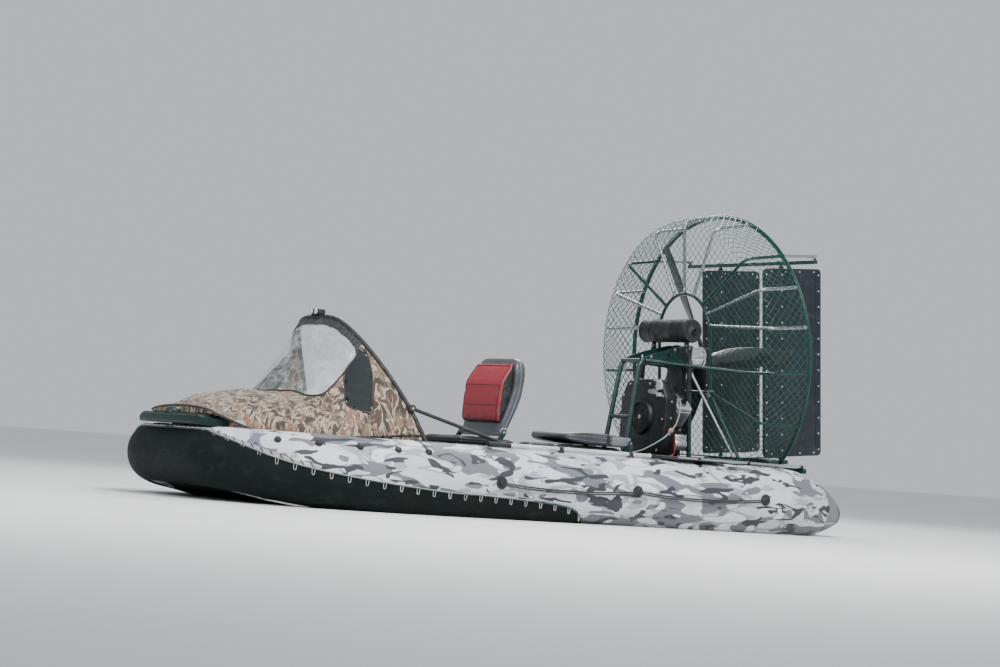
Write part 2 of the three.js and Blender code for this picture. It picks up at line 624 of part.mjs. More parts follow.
const [netFore, netAft] = [net.x + net.rim, net.x - net.rim];
const hoopOpening = new THREE.Shape();
hoopOpening.moveTo(-cage.hoopRadius, cage.hoopFootZ);
hoopOpening.lineTo(cage.hoopRadius, cage.hoopFootZ);
hoopOpening.lineTo(cage.hoopRadius, cage.hoopZ);
hoopOpening.absarc(0, cage.hoopZ, cage.hoopRadius, 0, Math.PI);
const passages = [-1, 1].flatMap((side) => [
  rod(stayPath(side)[0], stayPath(side)[1], cage.rod + 6, 8),
  toThrust(rod(...braceLine(side), 15, 8)),
]);
const wireField = cut(join(...faceWires), alongAxis(hoopOpening, 200, 340), ...passages);
const faceRim = toSolid(roundRim(net.faceRadius - net.rim, net.faceRadius + net.rim, netAft, netFore, 48));
// Face panels: the region's y range and lowest z, and the y of its upright edge bars
const facePanels = [
  ['net_face_port', [net.panelY, 950, net.footZ], [net.panelY]],
  ['net_face_starboard', [-950, -net.panelY, net.footZ], [-net.panelY - 8]],
  ['net_face_top', [-net.panelY + GAP, net.panelY - GAP, 200], [-net.panelY + GAP, net.panelY - GAP - 8]],
];
for (const [name, [y0, y1, z0], uprights] of facePanels) {
  const region = toSolid(box(netAft - 1, netFore + 1, y0, y1, z0, 950));
  const bars = uprights.map((y) => {
    const reach = Math.sqrt(net.faceRadius ** 2 - Math.max(Math.abs(y), Math.abs(y + 8)) ** 2);
    return box(netAft, netFore, y, y + 8, z0, reach);
  });
  if (z0 === net.footZ) {
    const footEnd = Math.sqrt(net.faceRadius ** 2 - net.footZ ** 2);
    bars.push(box(netAft, netFore, y0 > 0 ? y0 : -footEnd, y0 > 0 ? footEnd : y1, z0, z0 + 8));
  }
  addNode(name, cut(join(wireField.add(faceRim).intersect(region), ...bars), ...passages), 'green', thrustGroup);
}

const sideWires = [];
const sideTurn = net.x / net.radius;
for (let i = 0; i < net.sideCount; i += 1) {
  for (const way of [-1, 1]) {
    const point = (angle, x, radius) => {
      const reach = radius + way * net.layerGap / 2;
      return at(x, reach * Math.sin(angle), reach * Math.cos(angle));
    };
    const angle = (i + 0.5 - net.sideCount / 2) * net.sidePitch * degrees;
    sideWires.push(rod(
      point(angle, net.x, net.frontRadius), point(angle + way * sideTurn, net.rearX, net.radius), net.wire, 4,
    ));
  }
}
const ringEdge = (cage.radius + cage.rod + GAP) / Math.cos(3 * degrees);
const sideField = join(
  ...sideWires,
  roundRim(net.faceRadius + net.rim + 1, net.frontRadius + 5, netAft, netFore, 48),
  roundRim(ringEdge, net.radius + 5, net.rearX - 4, net.rearX + 4, ringSteps),
);
const lowAngle = 180 - Math.asin(Math.sqrt(1 - (net.footZ / net.radius) ** 2)) / degrees;
const edgeTurn = 0.42;
// Side panels, by their two edges in degrees from the top toward port
const sidePanels = [
  ['net_side_port', net.sideAngle, lowAngle],
  ['net_side_top', -net.sideAngle, net.sideAngle],
  ['net_side_starboard', -lowAngle, -net.sideAngle],
];
for (const [name, from, to] of sidePanels) {
  const wedge = new THREE.Shape();
  wedge.moveTo(0, 0);
  for (let i = 0; i <= 8; i += 1) {
    const angle = THREE.MathUtils.lerp(from + edgeTurn, to - edgeTurn, i / 8) * degrees;
    wedge.lineTo(1000 * Math.sin(angle), 1000 * Math.cos(angle));
  }
  const edges = [from + edgeTurn, to - edgeTurn].map((angle) => {
    const place = (x, radius) => at(x, radius * Math.sin(angle * degrees), radius * Math.cos(angle * degrees));
    return rod(place(net.rearX - 3, net.radius), place(netFore - 1, net.frontRadius), 4.5, 6);
  });
  addNode(name, join(sideField.intersect(toSolid(alongAxis(wedge, -20, 320))), ...edges), 'green', thrustGroup);
}

// Rudders: twin riveted panels on upright pivots
function rudderPanel() {
  const corner = 28;
  const [x0, x1] = [rudder.foreChord - rudder.chord, rudder.foreChord];
  const panel = new THREE.Shape();
  panel.moveTo(x0 + corner, rudder.bottom);
  panel.lineTo(x1 - corner, rudder.bottom);
  panel.absarc(x1 - corner, rudder.bottom + corner, corner, -Math.PI / 2, 0);
  panel.lineTo(x1, rudder.top - corner);
  panel.absarc(x1 - corner, rudder.top - corner, corner, 0, Math.PI / 2);
  panel.lineTo(x0 + corner, rudder.top);
  panel.absarc(x0 + corner, rudder.top - corner, corner, Math.PI / 2, Math.PI);
  panel.lineTo(x0, rudder.bottom + corner);
  panel.absarc(x0 + corner, rudder.bottom + corner, corner, Math.PI, Math.PI * 1.5);
  return new THREE.ExtrudeGeometry(panel, { depth: rudder.thickness, bevelEnabled: false, curveSegments: 5 })
    .rotateX(Math.PI / 2)
    .translate(0, rudder.thickness / 2, 0);
}
const rudderStock = rod(at(0, 0, rudder.bottom - 20 + GAP), at(0, 0, rudder.top + 20 - GAP), 12, 14);
for (const [side, y] of [['port', rudder.y], ['starboard', -rudder.y]]) {
  addNode(`${side}_rudder`, join(rudderPanel(), rudderStock), 'slate', thrustGroup)
    .position.set(rudder.pivotX, y, 0);
}

// Rudder foot: a bar held by two short arms on the stern beam
const footBar = [box(rudder.pivotX - 22, rudder.pivotX + 22, -340, 340, rudder.bottom - 44, rudder.bottom - 20)];
for (const y of [-rudder.y, rudder.y]) {
  footBar.push(box(rudder.pivotX, -140, y - 22, y + 22, rudder.bottom - 44, rudder.bottom - 20));
  footBar.push(box(-166, -140, y - 22, y + 22, -690, rudder.bottom - 20));
}
addNode('stern_beam', join(beam(-1810), ...footBar.map(toHull)), 'green');

// Seats
const seat = { x0: 30, x1: 430, half: 215, z0: frame.top + GAP, z1: 496 };
addNode('driver_seat_box', box(20, 440, -230, 230, deck.top + GAP, frame.bottom - 4), 'slate');
addNode('driver_seat_cushion', box(seat.x0, seat.x1, -seat.half, seat.half, seat.z0, seat.z1), 'black');
const hingePin = rod(at(0, -pin.reach, 0), at(0, pin.reach, 0), pin.radius, 16);
// The back's shell leans aft and curves up to its top; the pad in front of it is deepest at its middle
const shellFront = [[0, 60], [-40, 165], [-66, 255], [-70, 337], [-70, 387]];
const driverBack = sidePlate([
  [10, -24], ...shellFront, [-85, 438],
  [-116, 441], [-139, 413], [-143, 378], [-137, 304], [-121, 206], [-93, 133], [-66, 79], [-30, -10], [-22, -24],
], -seat.half, seat.half);
const driverPad = sidePlate([
  [3, 56], [28, 44], [31, 100], [28, 189], [21, 283], [-28, 369], [-66, 418],
  ...shellFront.map(([x, z]) => [x + 1, z]).reverse(),
], -seat.half + 12, seat.half - 12);
addNode('driver_seat_back', join(driverBack, hingePin), 'grey').position.set(backPivot.x, 0, backPivot.z);
addNode('driver_seat_pad', driverPad, 'red').position.set(backPivot.x, 0, backPivot.z);

addNode('rear_seat_box', box(-820, -240, -230, 230, deck.top + GAP, frame.bottom - 4), 'slate');
addNode('rear_seat_cushion', box(-756, -240, -215, 215, frame.top + GAP, 492), 'black');
const rearBack = sidePlate([
  [0, -26], [100, -26], [300, -24], [410, -12], [456, 6], [452, 28], [410, 44],
  [300, 50], [220, 49], [140, 45], [60, 40], [0, 34], [-12, 22], [-14, 0],
], -212, 212);
const rearBarrel = rod(at(0, -212, 0), at(0, 212, 0), 14, 16);
addNode('rear_seat_back', join(rearBack, rearBarrel, hingePin), 'grey').position.set(rearPivot.x, 0, rearPivot.z);

// Steering
addNode('steering_column', join(
  rod(at(1120, 0, deck.top + 12), at(800, 0, 640), 22, 14),
  box(1060, 1180, -70, 70, deck.top + GAP, deck.top + 10),
), 'slate');
const wheelAxis = new THREE.Vector3(-320, 0, 540).normalize();
const wheelTurn = new THREE.Quaternion().setFromUnitVectors(at(0, 0, 1), wheelAxis);
const wheel = join(
  new THREE.TorusGeometry(155, 13, 6, 28),
  rod(at(-155, 0, 0), at(155, 0, 0), 9, 8),
  rod(at(0, -155, 0), at(0, 0, 0), 9, 8),
  rod(at(0, 0, -16), at(0, 0, 16), 34, 16),
);
const steeringWheel = addNode('steering_wheel', wheel, 'black');
steeringWheel.quaternion.copy(wheelTurn);
steeringWheel.position.copy(at(800, 0, 640).addScaledVector(wheelAxis, 16 + GAP));

// Tent: one skin from the hoop forward to the bow band, with a clear film window let into it
function skin(grid, thickness, kept = () => true) {
  const [rows, columns] = [grid.length, grid[0].length];
  const inner = grid.map((row, r) => row.map((point, c) => {
    const along = grid[Math.min(r + 1, rows - 1)][c].clone().sub(grid[Math.max(r - 1, 0)][c]);
    const across = row[Math.min(c + 1, columns - 1)].clone().sub(row[Math.max(c - 1, 0)]);
    return point.clone().addScaledVector(across.cross(along).normalize(), thickness);
  }));
  const positions = [...grid.flat(), ...inner.flat()].flatMap((point) => point.toArray());
  const corner = (r, c, layer) => layer * rows * columns + r * columns + c;
  const index = [];
  const quad = (p, q, u, v) => index.push(p, q, u, p, u, v);
  const isKept = (r, c) => r >= 0 && c >= 0 && r < rows - 1 && c < columns - 1 && kept(r, c);
  for (let r = 0; r < rows - 1; r += 1) {
    for (let c = 0; c < columns - 1; c += 1) {
      if (isKept(r, c)) {
        const loop = [[r, c], [r, c + 1], [r + 1, c + 1], [r + 1, c]];
        // Both layers split on one diagonal, which is mirrored on the other side of the middle
        const first = c < (columns - 1) / 2 ? 0 : 1;
        const split = [0, 1, 2, 3].map((k) => loop[(k + first) % 4]);
        const [p, q, u, v] = split.map(([i, j]) => corner(i, j, 1));
        quad(...split.map(([i, j]) => corner(i, j, 0)));
        quad(p, v, u, q);
        [[r - 1, c], [r, c + 1], [r + 1, c], [r, c - 1]].forEach(([i, j], k) => {
          if (!isKept(i, j)) {
            const [from, to] = [loop[k], loop[(k + 1) % 4]];
            quad(corner(...to, 0), corner(...from, 0), corner(...from, 1), corner(...to, 1));
          }
        });
      }
    }
  }
  const geometry = new THREE.BufferGeometry();
  geometry.setAttribute('position', new THREE.Float32BufferAttribute(positions, 3));
  geometry.setIndex(index);
  return facingOut(toGeometry(toSolid(facingOut(geometry))));
}

// Tent stations from aft to fore: share of the bow bend at the foot, crown x and z, how fast the arch rises,
// how tight its shoulders are (less is tighter), and how far its sides lean in toward the crown
const tentFootInset = 84;
const tentStations = [
  { share: 0.0, crown: [1306, 1092], square: 0.62, shoulder: 0.5, lean: 0.44 },
  { share: 0.07, crown: [1352, 1020], square: 0.64, shoulder: 0.58, lean: 0.4 },
  { share: 0.14, crown: [1430, 880], square: 0.68, shoulder: 0.68, lean: 0.33 },
  { share: 0.22, crown: [1510, 745], square: 0.74, shoulder: 0.82, lean: 0.22 },
  { share: 0.31, crown: [1580, 668], square: 0.82, shoulder: 0.95, lean: 0.12 },
  { share: 0.43, crown: [1720, 660], square: 0.9, shoulder: 1, lean: 0.1 },
  { share: 0.56, crown: [1890, 638], square: 0.95, shoulder: 1, lean: 0.1 },
  { share: 0.68, crown: [2020, 600], square: 1, shoulder: 1, lean: 0.1 },
  { foot: [2098, 376, band.z1 + 6], crown: [2098, 545], square: 1, shoulder: 1, lean: 0.1 },
];

function tentFoot(share) {
  const place = bowBend.getPoint(share);
  const way = bowBend.getTangent(share);
  const radius = bendRadius(share);
  return [
    place.x + way.y * tentFootInset,
    place.y - way.x * tentFootInset,
    tube.top - radius + Math.sqrt(radius ** 2 - tentFootInset ** 2) + 2,
  ];
}
const tentColumns = 24;
const tentGrid = tentStations.map(({ share, foot = tentFoot(share), crown, square, shoulder, lean }) => Array.from(
  { length: tentColumns + 1 },
  (_, i) => {
    const angle = Math.PI * i / tentColumns;
    const across = Math.sign(Math.cos(angle)) * Math.abs(Math.cos(angle)) ** shoulder;
    const rise = Math.sin(angle) ** square;
    return at(
      THREE.MathUtils.lerp(foot[0], crown[0], Math.sin(angle) ** 0.8),
      i === tentColumns / 2 ? 0 : foot[1] * across * (1 - lean * rise),
      THREE.MathUtils.lerp(foot[2], crown[1], rise),
    );
  },
));

// The window's cells in that grid, as rows and columns
const windowCells = { rows: [1, 4], columns: [6, 18], gap: 1 };
const inWindow = (row, column) => row >= windowCells.rows[0] && row < windowCells.rows[1]
  && column >= windowCells.columns[0] && column < windowCells.columns[1];
addNode('tent_cover', skin(tentGrid, 3, (row, column) => !inWindow(row, column)), 'tent');

// The same grid with the window's edge drawn in by a gap, for the film that is let into the cloth
const filmGrid = tentGrid.map((row, r) => row.map((point, c) => {
  const moved = point.clone();
  const inRows = r >= windowCells.rows[0] && r <= windowCells.rows[1];
  const inColumns = c >= windowCells.columns[0] && c <= windowCells.columns[1];
  const drawIn = (toward) => moved.addScaledVector(toward.clone().sub(point).normalize(), windowCells.gap);
  if (inColumns && r === windowCells.rows[0]) drawIn(tentGrid[r + 1][c]);
  if (inColumns && r === windowCells.rows[1]) drawIn(tentGrid[r - 1][c]);
  if (inRows && c === windowCells.columns[0]) drawIn(row[c + 1]);
  if (inRows && c === windowCells.columns[1]) drawIn(row[c - 1]);
  return moved;
}));
addNode('tent_window', skin(filmGrid, 3, inWindow), 'film');

// The hoop runs along the tent's aft edge, with a lamp on its top
const hoopPoints = tentGrid[0].map((point, i) => point.clone()
  .addScaledVector(point.clone().sub(tentGrid[1][i]).normalize(), hoop.radius + 0.7));
hoopPoints[0].z = hoop.footZ;
hoopPoints[tentColumns].z = hoop.footZ;
const hoopTop = hoopPoints[tentColumns / 2];
const hoopLamp = box(
  hoopTop.x - 20, hoopTop.x + 38, -52, 52, hoopTop.z + hoop.radius - 3, hoopTop.z + hoop.radius + 34,
);
addNode('tent_hoop', join(
  sweptCircle(new THREE.CatmullRomCurve3(hoopPoints), hoop.radius, 40, 8), hoopLamp,
), 'black');

// Braces from the tent hoop aft to the tubes
const braceSeat = hoopPoints.find((point) => point.z > hoop.braceZ);
for (const [side, sign] of [['port', 1], ['starboard', -1]]) {
  const y = Math.abs(braceSeat.y) + hoop.radius + hoop.braceRadius + 0.2;
  addNode(`${side}_tent_brace`, bentRod([
    at(braceSeat.x + 8, sign * y, braceSeat.z + 3),
    at(braceSeat.x - 12, sign * y, braceSeat.z - 3),
    at(440, sign * 742, tube.top + hoop.braceRadius + 1),
  ], hoop.braceRadius, 8, 8, 8), 'black');
}

// Oars lying on the tubes
for (const [side, sign] of [['port', 1], ['starboard', -1]]) {
  const y = sign * 790;
  const z = tube.top + 11;
  const shaft = rod(at(620, y, z), at(-690, y, z), 14, 12);
  const bladeOutline = [
    [-680, -16], [-760, -58], [-1010, -66], [-1050, -45], [-1060, 0], [-1050, 45], [-1010, 66], [-760, 58], [-680, 16],
  ];
  const blade = planPlate(bladeOutline, tube.top + GAP, tube.top + 12).translate(0, y, 0);
  const saddles = [350, -420].map((x) => box(x - 22, x + 22, y - 20, y + 20, tube.top - 2.8, z));
  addNode(`${side}_oar`, join(shaft, blade, ...saddles), 'aluminium');
}

// Grab lines along the tubes, held at knobs
for (const [side, sign] of [['port', 1], ['starboard', -1]]) {
  const knobs = [620, -310, -1250];
  const line = bentRod(knobs.map((x) => at(x, sign * (tube.y + tube.radius + 12), 250)), 6, 20, 12, 8);
  const knobPieces = knobs.map((x) => rod(
    at(x, sign * (tube.y + tube.radius), 250), at(x, sign * (tube.y + tube.radius + 22), 250), 20, 14,
  ));
  addNode(`${side}_grab_line`, join(line, ...knobPieces), 'black');
}

// Fuel tank beside the engine, and its line from the carburettor, down past the shroud and round to the tank
const tank = { x0: -1180, x1: -860, y0: 250, y1: 480, z1: 330 };
addNode('fuel_tank', box(tank.x0, tank.x1, tank.y0, tank.y1, deck.top + GAP, tank.z1), 'red');
const fuelLine = { radius: 4.5, bend: 26 };
const bulbEnds = [at(-1094, 268, 660), at(-1022, 266, 584)];
const fuelRoute = [
  at(-1170, 52 + 2 * GAP, 850), at(-1170, 92, 852), at(-1152, 168, 856), at(-1146, 232, 808), at(-1118, 262, 722),
  bulbEnds[0], bulbEnds[1],
  at(-950, 264, 540), at(-850, 266, 492), at(-738, 272, 464), at(-722, 286, 404), at(-738, 302, 330),
  at(-786, 310, 296), at(tank.x1 + GAP, 312, 292),
];
addNode('fuel_line', bentRod(fuelRoute, fuelLine.radius, fuelLine.bend, 50, 8), 'film');
const bulbAxis = bulbEnds[1].clone().sub(bulbEnds[0]);
const bulbProfile = [
  // radius, share of the stretch
  [4.8, 0.3], [8, 0.3], [15, 0.38], [17, 0.5], [15, 0.62], [8, 0.7], [4.8, 0.7], [4.8, 0.3],
].map(([radius, share]) => new THREE.Vector2(radius, share * bulbAxis.length()));
addNode('primer_bulb', new THREE.LatheGeometry(bulbProfile, 16)
  .applyQuaternion(new THREE.Quaternion().setFromUnitVectors(at(0, 1, 0), bulbAxis.clone().normalize()))
  .translate(...bulbEnds[0].toArray()), 'red');

airboat.updateMatrixWorld(true);

export default airboat;
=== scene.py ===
"""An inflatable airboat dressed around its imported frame: +X is the bow, +Y port, +Z up, in metres."""
import math

import bmesh
import bpy
import numpy as np
from mathutils import Matrix, Vector
from mathutils.bvhtree import BVHTree
from mathutils.geometry import tessellate_polygon


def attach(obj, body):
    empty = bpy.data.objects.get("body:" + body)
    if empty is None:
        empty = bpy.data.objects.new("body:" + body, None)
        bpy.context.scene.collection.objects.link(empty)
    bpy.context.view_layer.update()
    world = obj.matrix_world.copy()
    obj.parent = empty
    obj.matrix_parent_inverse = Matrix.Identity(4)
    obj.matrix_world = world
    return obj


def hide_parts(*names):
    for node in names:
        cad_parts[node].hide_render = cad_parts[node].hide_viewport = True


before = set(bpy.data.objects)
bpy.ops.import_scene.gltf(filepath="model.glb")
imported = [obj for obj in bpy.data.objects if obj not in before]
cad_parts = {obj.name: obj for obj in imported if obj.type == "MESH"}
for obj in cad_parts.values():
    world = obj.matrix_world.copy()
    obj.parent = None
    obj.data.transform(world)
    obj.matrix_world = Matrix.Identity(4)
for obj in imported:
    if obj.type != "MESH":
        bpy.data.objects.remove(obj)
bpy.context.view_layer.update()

# Driving sizes, the frame's own; the cage's rods are half a millimetre fuller
TUBE_RADIUS = 0.22
TUBE_Y = 0.75
TUBE_BOTTOM = 0.0063
TUBE_TOP = TUBE_BOTTOM + 2 * TUBE_RADIUS
BOW_RADIUS = 0.16
BOW_X = 2.058
BOW_HALF = 0.27
BEND_X = 0.95
WATERLINE = 0.05

THRUST_LEAN = math.radians(5)
THRUST = Matrix.Translation((-1.599, 0, 1.116)) @ Matrix.Rotation(THRUST_LEAN, 4, "Y")
CAGE_RADIUS = 0.876
CAGE_FRONT = 0.845
CAGE_DEPTH = 0.27
HOOP_RADIUS = 0.255
HOOP_Z = 0.14
HOOP_FOOT_Z = -0.215
ROD = 0.0105
NET_X = 0.286
NET_FOOT_Z = -0.606

FRAME_TOP = 0.45
RAIL_Y = 0.628
DECK_TOP = 0.1
MAST_Y = 0.092
MAST_TOP = 1.04
PIN_REACH = 0.24

# Camera
CAMERA_TURN = 51.2
CAMERA_HEIGHT = 0.5
CAMERA_REACH = 15.39
AIM_TOWARD_BOW = 5.13
AIM_UP = 0.55
LENS = 87.5


def sight(turn, rise):
    turn, rise = math.radians(turn), math.radians(rise)
    return Vector((math.cos(turn) * math.cos(rise), math.sin(turn) * math.cos(rise), math.sin(rise)))


def make_camera():
    """A long lens off the port bow, level with the propeller's axis, which leans against the hull."""
    back = sight(CAMERA_TURN, CAMERA_HEIGHT)
    forward = sight(CAMERA_TURN + AIM_TOWARD_BOW + 180, AIM_UP - CAMERA_HEIGHT)
    right = forward.cross(Vector((0, 0, 1))).normalized()
    axes = Matrix((right, right.cross(forward), -forward)).transposed()
    to_hull = THRUST.to_3x3()
    camera = bpy.data.objects.new("camera", bpy.data.cameras.new("camera"))
    bpy.context.scene.collection.objects.link(camera)
    camera.data.lens = LENS
    camera.data.sensor_width = 36
    camera.data.clip_end = 200
    place = THRUST.translation + to_hull @ (back * CAMERA_REACH)
    camera.matrix_world = Matrix.Translation(place) @ (to_hull @ axes).to_4x4()
    bpy.context.scene.camera = camera


make_camera()


# Finishes
class Value:
    """A number that varies over a surface; arithmetic on it adds Math nodes."""

    def __init__(self, finish, socket):
        self.finish, self.socket = finish, socket

    def math(self, operation, *others):
        return self.finish.node("ShaderNodeMath", {"operation": operation}, others)

    def __add__(self, other):
        return self.math("ADD", self, other)

    def __sub__(self, other):
        return self.math("SUBTRACT", self, other)

    def __rsub__(self, other):
        return self.math("SUBTRACT", other, self)

    def __mul__(self, other):
        return self.math("MULTIPLY", self, other)

    __radd__ = __add__
    __rmul__ = __mul__

    def wave(self, pitch):
        """A sine with this pitch, from 0 to 1."""
        return (self * (2 * math.pi / pitch)).math("SINE", self * (2 * math.pi / pitch)) * 0.5 + 0.5

    def rise(self, low, high):
        """0 below low and 1 above high, smooth between."""
        settings = {"interpolation_type": "SMOOTHSTEP"}
        return self.finish.node("ShaderNodeMapRange", settings, (self, low, high, 0.0, 1.0))


class Finish:
    """A procedural material; its textures lie in the boat's own frame, in metres."""

    def __init__(self, name, **constants):
        self.material = bpy.data.materials.new(name)
        self.material.use_nodes = True
        self.tree = self.material.node_tree
        self.shader = self.tree.nodes["Principled BSDF"]
        for socket, value in constants.items():
            self.shader.inputs[socket.replace("_", " ")].default_value = value
        self.place = self.node("ShaderNodeTexCoord", output="Object")

    def node(self, kind, settings=None, inputs=(), output=0):
        """A node with its settings made first, then its sockets by number or name, as a value."""
        made = self.tree.nodes.new(kind)
        for key, value in (settings or {}).items():
            setattr(made, key, value)
        for key, value in (inputs.items() if isinstance(inputs, dict) else enumerate(inputs)):
            self.join(value, made.inputs[key])
        return Value(self, made.outputs[output])

    def join(self, value, socket):
        if isinstance(value, Value):
            self.tree.links.new(value.socket, socket)
        elif isinstance(value, tuple) and len(value) == 3 and socket.type == "RGBA":
            socket.default_value = (*value, 1)
        else:
            socket.default_value = value

    def feed(self, **values):
        for name, value in values.items():
            self.join(value, self.shader.inputs[name.replace("_", " ")])

    def mix(self, factor, below, above, blend="MIX"):
        settings = {"data_type": "RGBA", "blend_type": blend}
        return self.node("ShaderNodeMix", settings, {0: factor, 6: below, 7: above}, output=2)

    def stretched(self, x, y, z, turn=(0, 0, 0)):
        """The place scaled along each axis after a turn."""
        return self.node("ShaderNodeMapping", None,
                         {"Vector": self.place, "Rotation": turn, "Scale": (x, y, z)})

    def noise(self, scale, detail=2.0, roughness=0.5, place=None, distortion=0.0):
        inputs = {
            "Vector": place or self.place, "Scale": scale, "Detail": detail,
            "Roughness": roughness, "Distortion": distortion,
        }
        return self.node("ShaderNodeTexNoise", None, inputs)

    def cells(self, scale, place=None, feature="F1", output="Distance"):
        return self.node(
            "ShaderNodeTexVoronoi", {"feature": feature}, {"Vector": place or self.place, "Scale": scale},
            output,
        )

    def axis(self, name):
        return self.node("ShaderNodeSeparateXYZ", None, (self.place,), output=name)

    def bump(self, height, distance, strength=1.0):
        inputs = {"Strength": strength, "Distance": distance, "Height": height}
        self.feed(Normal=self.node("ShaderNodeBump", None, inputs))

    def weave(self, pitch):
        """Over-and-under threads along the three axes."""
        threads = [self.axis(name).wave(pitch) for name in "XYZ"]
        return threads[0] * threads[1] + threads[1] * threads[2] + threads[2] * threads[0]


def worn_finish(name, colour, roughness, metallic=0.0, dust=(0.3, 0.28, 0.24), dusty=0.12, grain=260.0,
                height=0.0004, spread=0.12, spots=None, **constants):
    """A hard finish with soft stains, fine grain, dust that gathers in patches, and optional worn spots."""
    finish = Finish(name, Metallic=metallic, **constants)
    stain = finish.noise(7.0, 4.0, 0.6)
    fine = finish.noise(grain, 3.0, 0.6)
    dark = tuple(channel * 0.72 for channel in colour)
    tone = finish.mix(stain.rise(0.35, 0.7), dark, colour)
    patches = finish.noise(23.0, 5.0, 0.7).rise(0.5, 0.75) * dusty
    tone = finish.mix(patches, tone, dust)
    if spots:
        bare, share = spots
        chips = finish.noise(95.0, 4.0, 0.75).rise(1.0 - share, 1.0 - share + 0.03)
        tone = finish.mix(chips, tone, bare)
    finish.feed(Base_Color=tone, Roughness=(stain * spread + fine * spread + (roughness - spread)))
    finish.bump(fine * 0.5 + stain * 0.5, height)
    return finish


def camouflage_finish():
    """Coated cloth: near-white ground with long grey clouds in two tones and charcoal strokes."""
    finish = Finish("camouflage", Specular_IOR_Level=0.35)
    wide = finish.noise(3.4, 3.0, 0.5, distortion=0.6)
    clouds = finish.noise(5.0, 1.6, 0.45, place=finish.stretched(0.8, 1.3, 2.1, (0.3, 0.25, 0.8)),
                          distortion=0.9)
    blots = finish.noise(6.4, 1.6, 0.45, place=finish.stretched(0.8, 1.3, 2.2, (-0.45, 0.3, 0.5)),
                         distortion=0.8)
    strokes = finish.noise(7.4, 1.4, 0.4, place=finish.stretched(0.75, 1.2, 2.4, (0.6, 0.1, 0.9)),
                           distortion=1.0)
    ground = finish.mix(wide.rise(0.45, 0.55), (0.72, 0.72, 0.77), (0.60, 0.60, 0.66))
    ground = finish.mix(blots.rise(0.535, 0.543), ground, (0.37, 0.375, 0.42))
    ground = finish.mix(clouds.rise(0.55, 0.557), ground, (0.17, 0.175, 0.2))
    ground = finish.mix(strokes.rise(0.60, 0.607), ground, (0.045, 0.048, 0.058))
    ground = finish.mix(blots.rise(0.64, 0.647), ground, (0.76, 0.76, 0.81))
    # Brownish darkening in noisy patches over the tubes' lower part, full at their bottom and gone by about
    # their middle height
    darkening = finish.noise(3.0, 5.0, 0.7).rise(0.4, 0.75) * (1.0 - finish.axis("Z").rise(0.02, 0.22))
    ground = finish.mix(darkening * 0.4, ground, (0.16, 0.145, 0.11))
    weave = finish.weave(0.0032)
    fold = finish.noise(6.0, 2.0, 0.5, place=finish.stretched(2.2, 1.0, 0.7))
    finish.feed(Base_Color=ground, Roughness=weave * 0.06 + wide * 0.12 + 0.36)
    finish.bump(weave * 0.12 + fold, 0.006, 0.55)
    return finish


def cloth_finish(name, colour, pitch=0.0026, roughness=0.62, fold=0.006, dust=0.25, sheen=0.15, shine=0.5):
    """Woven cloth with soft folds, rubbed lighter along them."""
    finish = Finish(name, Sheen_Weight=sheen, Sheen_Roughness=0.5, Specular_IOR_Level=shine)
    creases = finish.noise(11.0, 4.0, 0.55, place=finish.stretched(1.0, 1.6, 2.2, (0.2, 0.5, 0.1)),
                           distortion=0.7)
    weave = finish.weave(pitch)
    rubbed = tuple(min(1, channel * 1.8 + 0.004) for channel in colour)
    tone = finish.mix(creases.rise(0.5, 0.72) * 0.7, colour, rubbed)
    dusty = finish.noise(5.0, 5.0, 0.7).rise(0.5, 0.8) * dust
    finish.feed(Base_Color=finish.mix(dusty, tone, (0.12, 0.115, 0.1)),
                Roughness=weave * 0.1 + (roughness - 0.05))
    finish.bump(creases + weave * 0.08, fold, 0.6)
    return finish


def tent_finish():
    """Reed camouflage: long upright straw and brown stalks over a dark ground, on light woven cloth."""
    finish = Finish("reed_cloth", Sheen_Weight=0.12)
    stalks = finish.noise(10.5, 3.0, 0.5, place=finish.stretched(1.9, 1.9, 0.3, (0.16, 0.12, 0)),
                          distortion=0.8)
    leaves = finish.noise(6.0, 3.0, 0.55, place=finish.stretched(1.4, 1.4, 0.45, (-0.34, 0.26, 0)),
                          distortion=1.4)
    fine = finish.noise(30.0, 3.0, 0.55, place=finish.stretched(1.6, 1.6, 0.16, (0.1, -0.2, 0)),
                        distortion=0.4)
    ground = finish.mix(leaves.rise(0.42, 0.55), (0.05, 0.036, 0.028), (0.23, 0.165, 0.115))
    ground = finish.mix(stalks.rise(0.5, 0.52), ground, (0.46, 0.36, 0.26))
    ground = finish.mix(stalks.rise(0.585, 0.6), ground, (0.085, 0.055, 0.04))
    ground = finish.mix(leaves.rise(0.585, 0.6), ground, (0.27, 0.125, 0.08))
    ground = finish.mix(leaves.rise(0.64, 0.655), ground, (0.5, 0.45, 0.37))
    ground = finish.mix(fine.rise(0.58, 0.63) * 0.75, ground, (0.05, 0.036, 0.028))
    weave = finish.weave(0.003)
    folds = finish.noise(7.0, 4.0, 0.5, place=finish.stretched(1.0, 0.5, 1.4, (0.1, 0.7, 0.2)),
                         distortion=0.8)
    finish.feed(Base_Color=ground, Roughness=weave * 0.08 + 0.74)
    finish.bump(folds + weave * 0.06, 0.016, 0.75)
    return finish


def film_finish():
    """Milky soft film: mostly clear, with hazy streaks and creases."""
    finish = Finish("window_film", Specular_IOR_Level=0.5)
    haze = finish.noise(6.0, 5.0, 0.62, place=finish.stretched(1.0, 1.0, 1.6), distortion=1.0)
    creases = finish.noise(13.0, 3.0, 0.5, place=finish.stretched(1.2, 0.5, 1.0, (0.2, 0.4, 0.9)),
                           distortion=1.6)
    tone = finish.mix(haze.rise(0.3, 0.7), (0.42, 0.47, 0.45), (0.7, 0.73, 0.72))
    streaks = creases.rise(0.55, 0.7) * 0.2
    finish.feed(Base_Color=tone, Roughness=haze * 0.2 + 0.08,
                Alpha=haze.rise(0.42, 0.75) * 0.3 + streaks + 0.12)
    finish.bump(creases + haze * 0.3, 0.02, 0.7)
    return finish


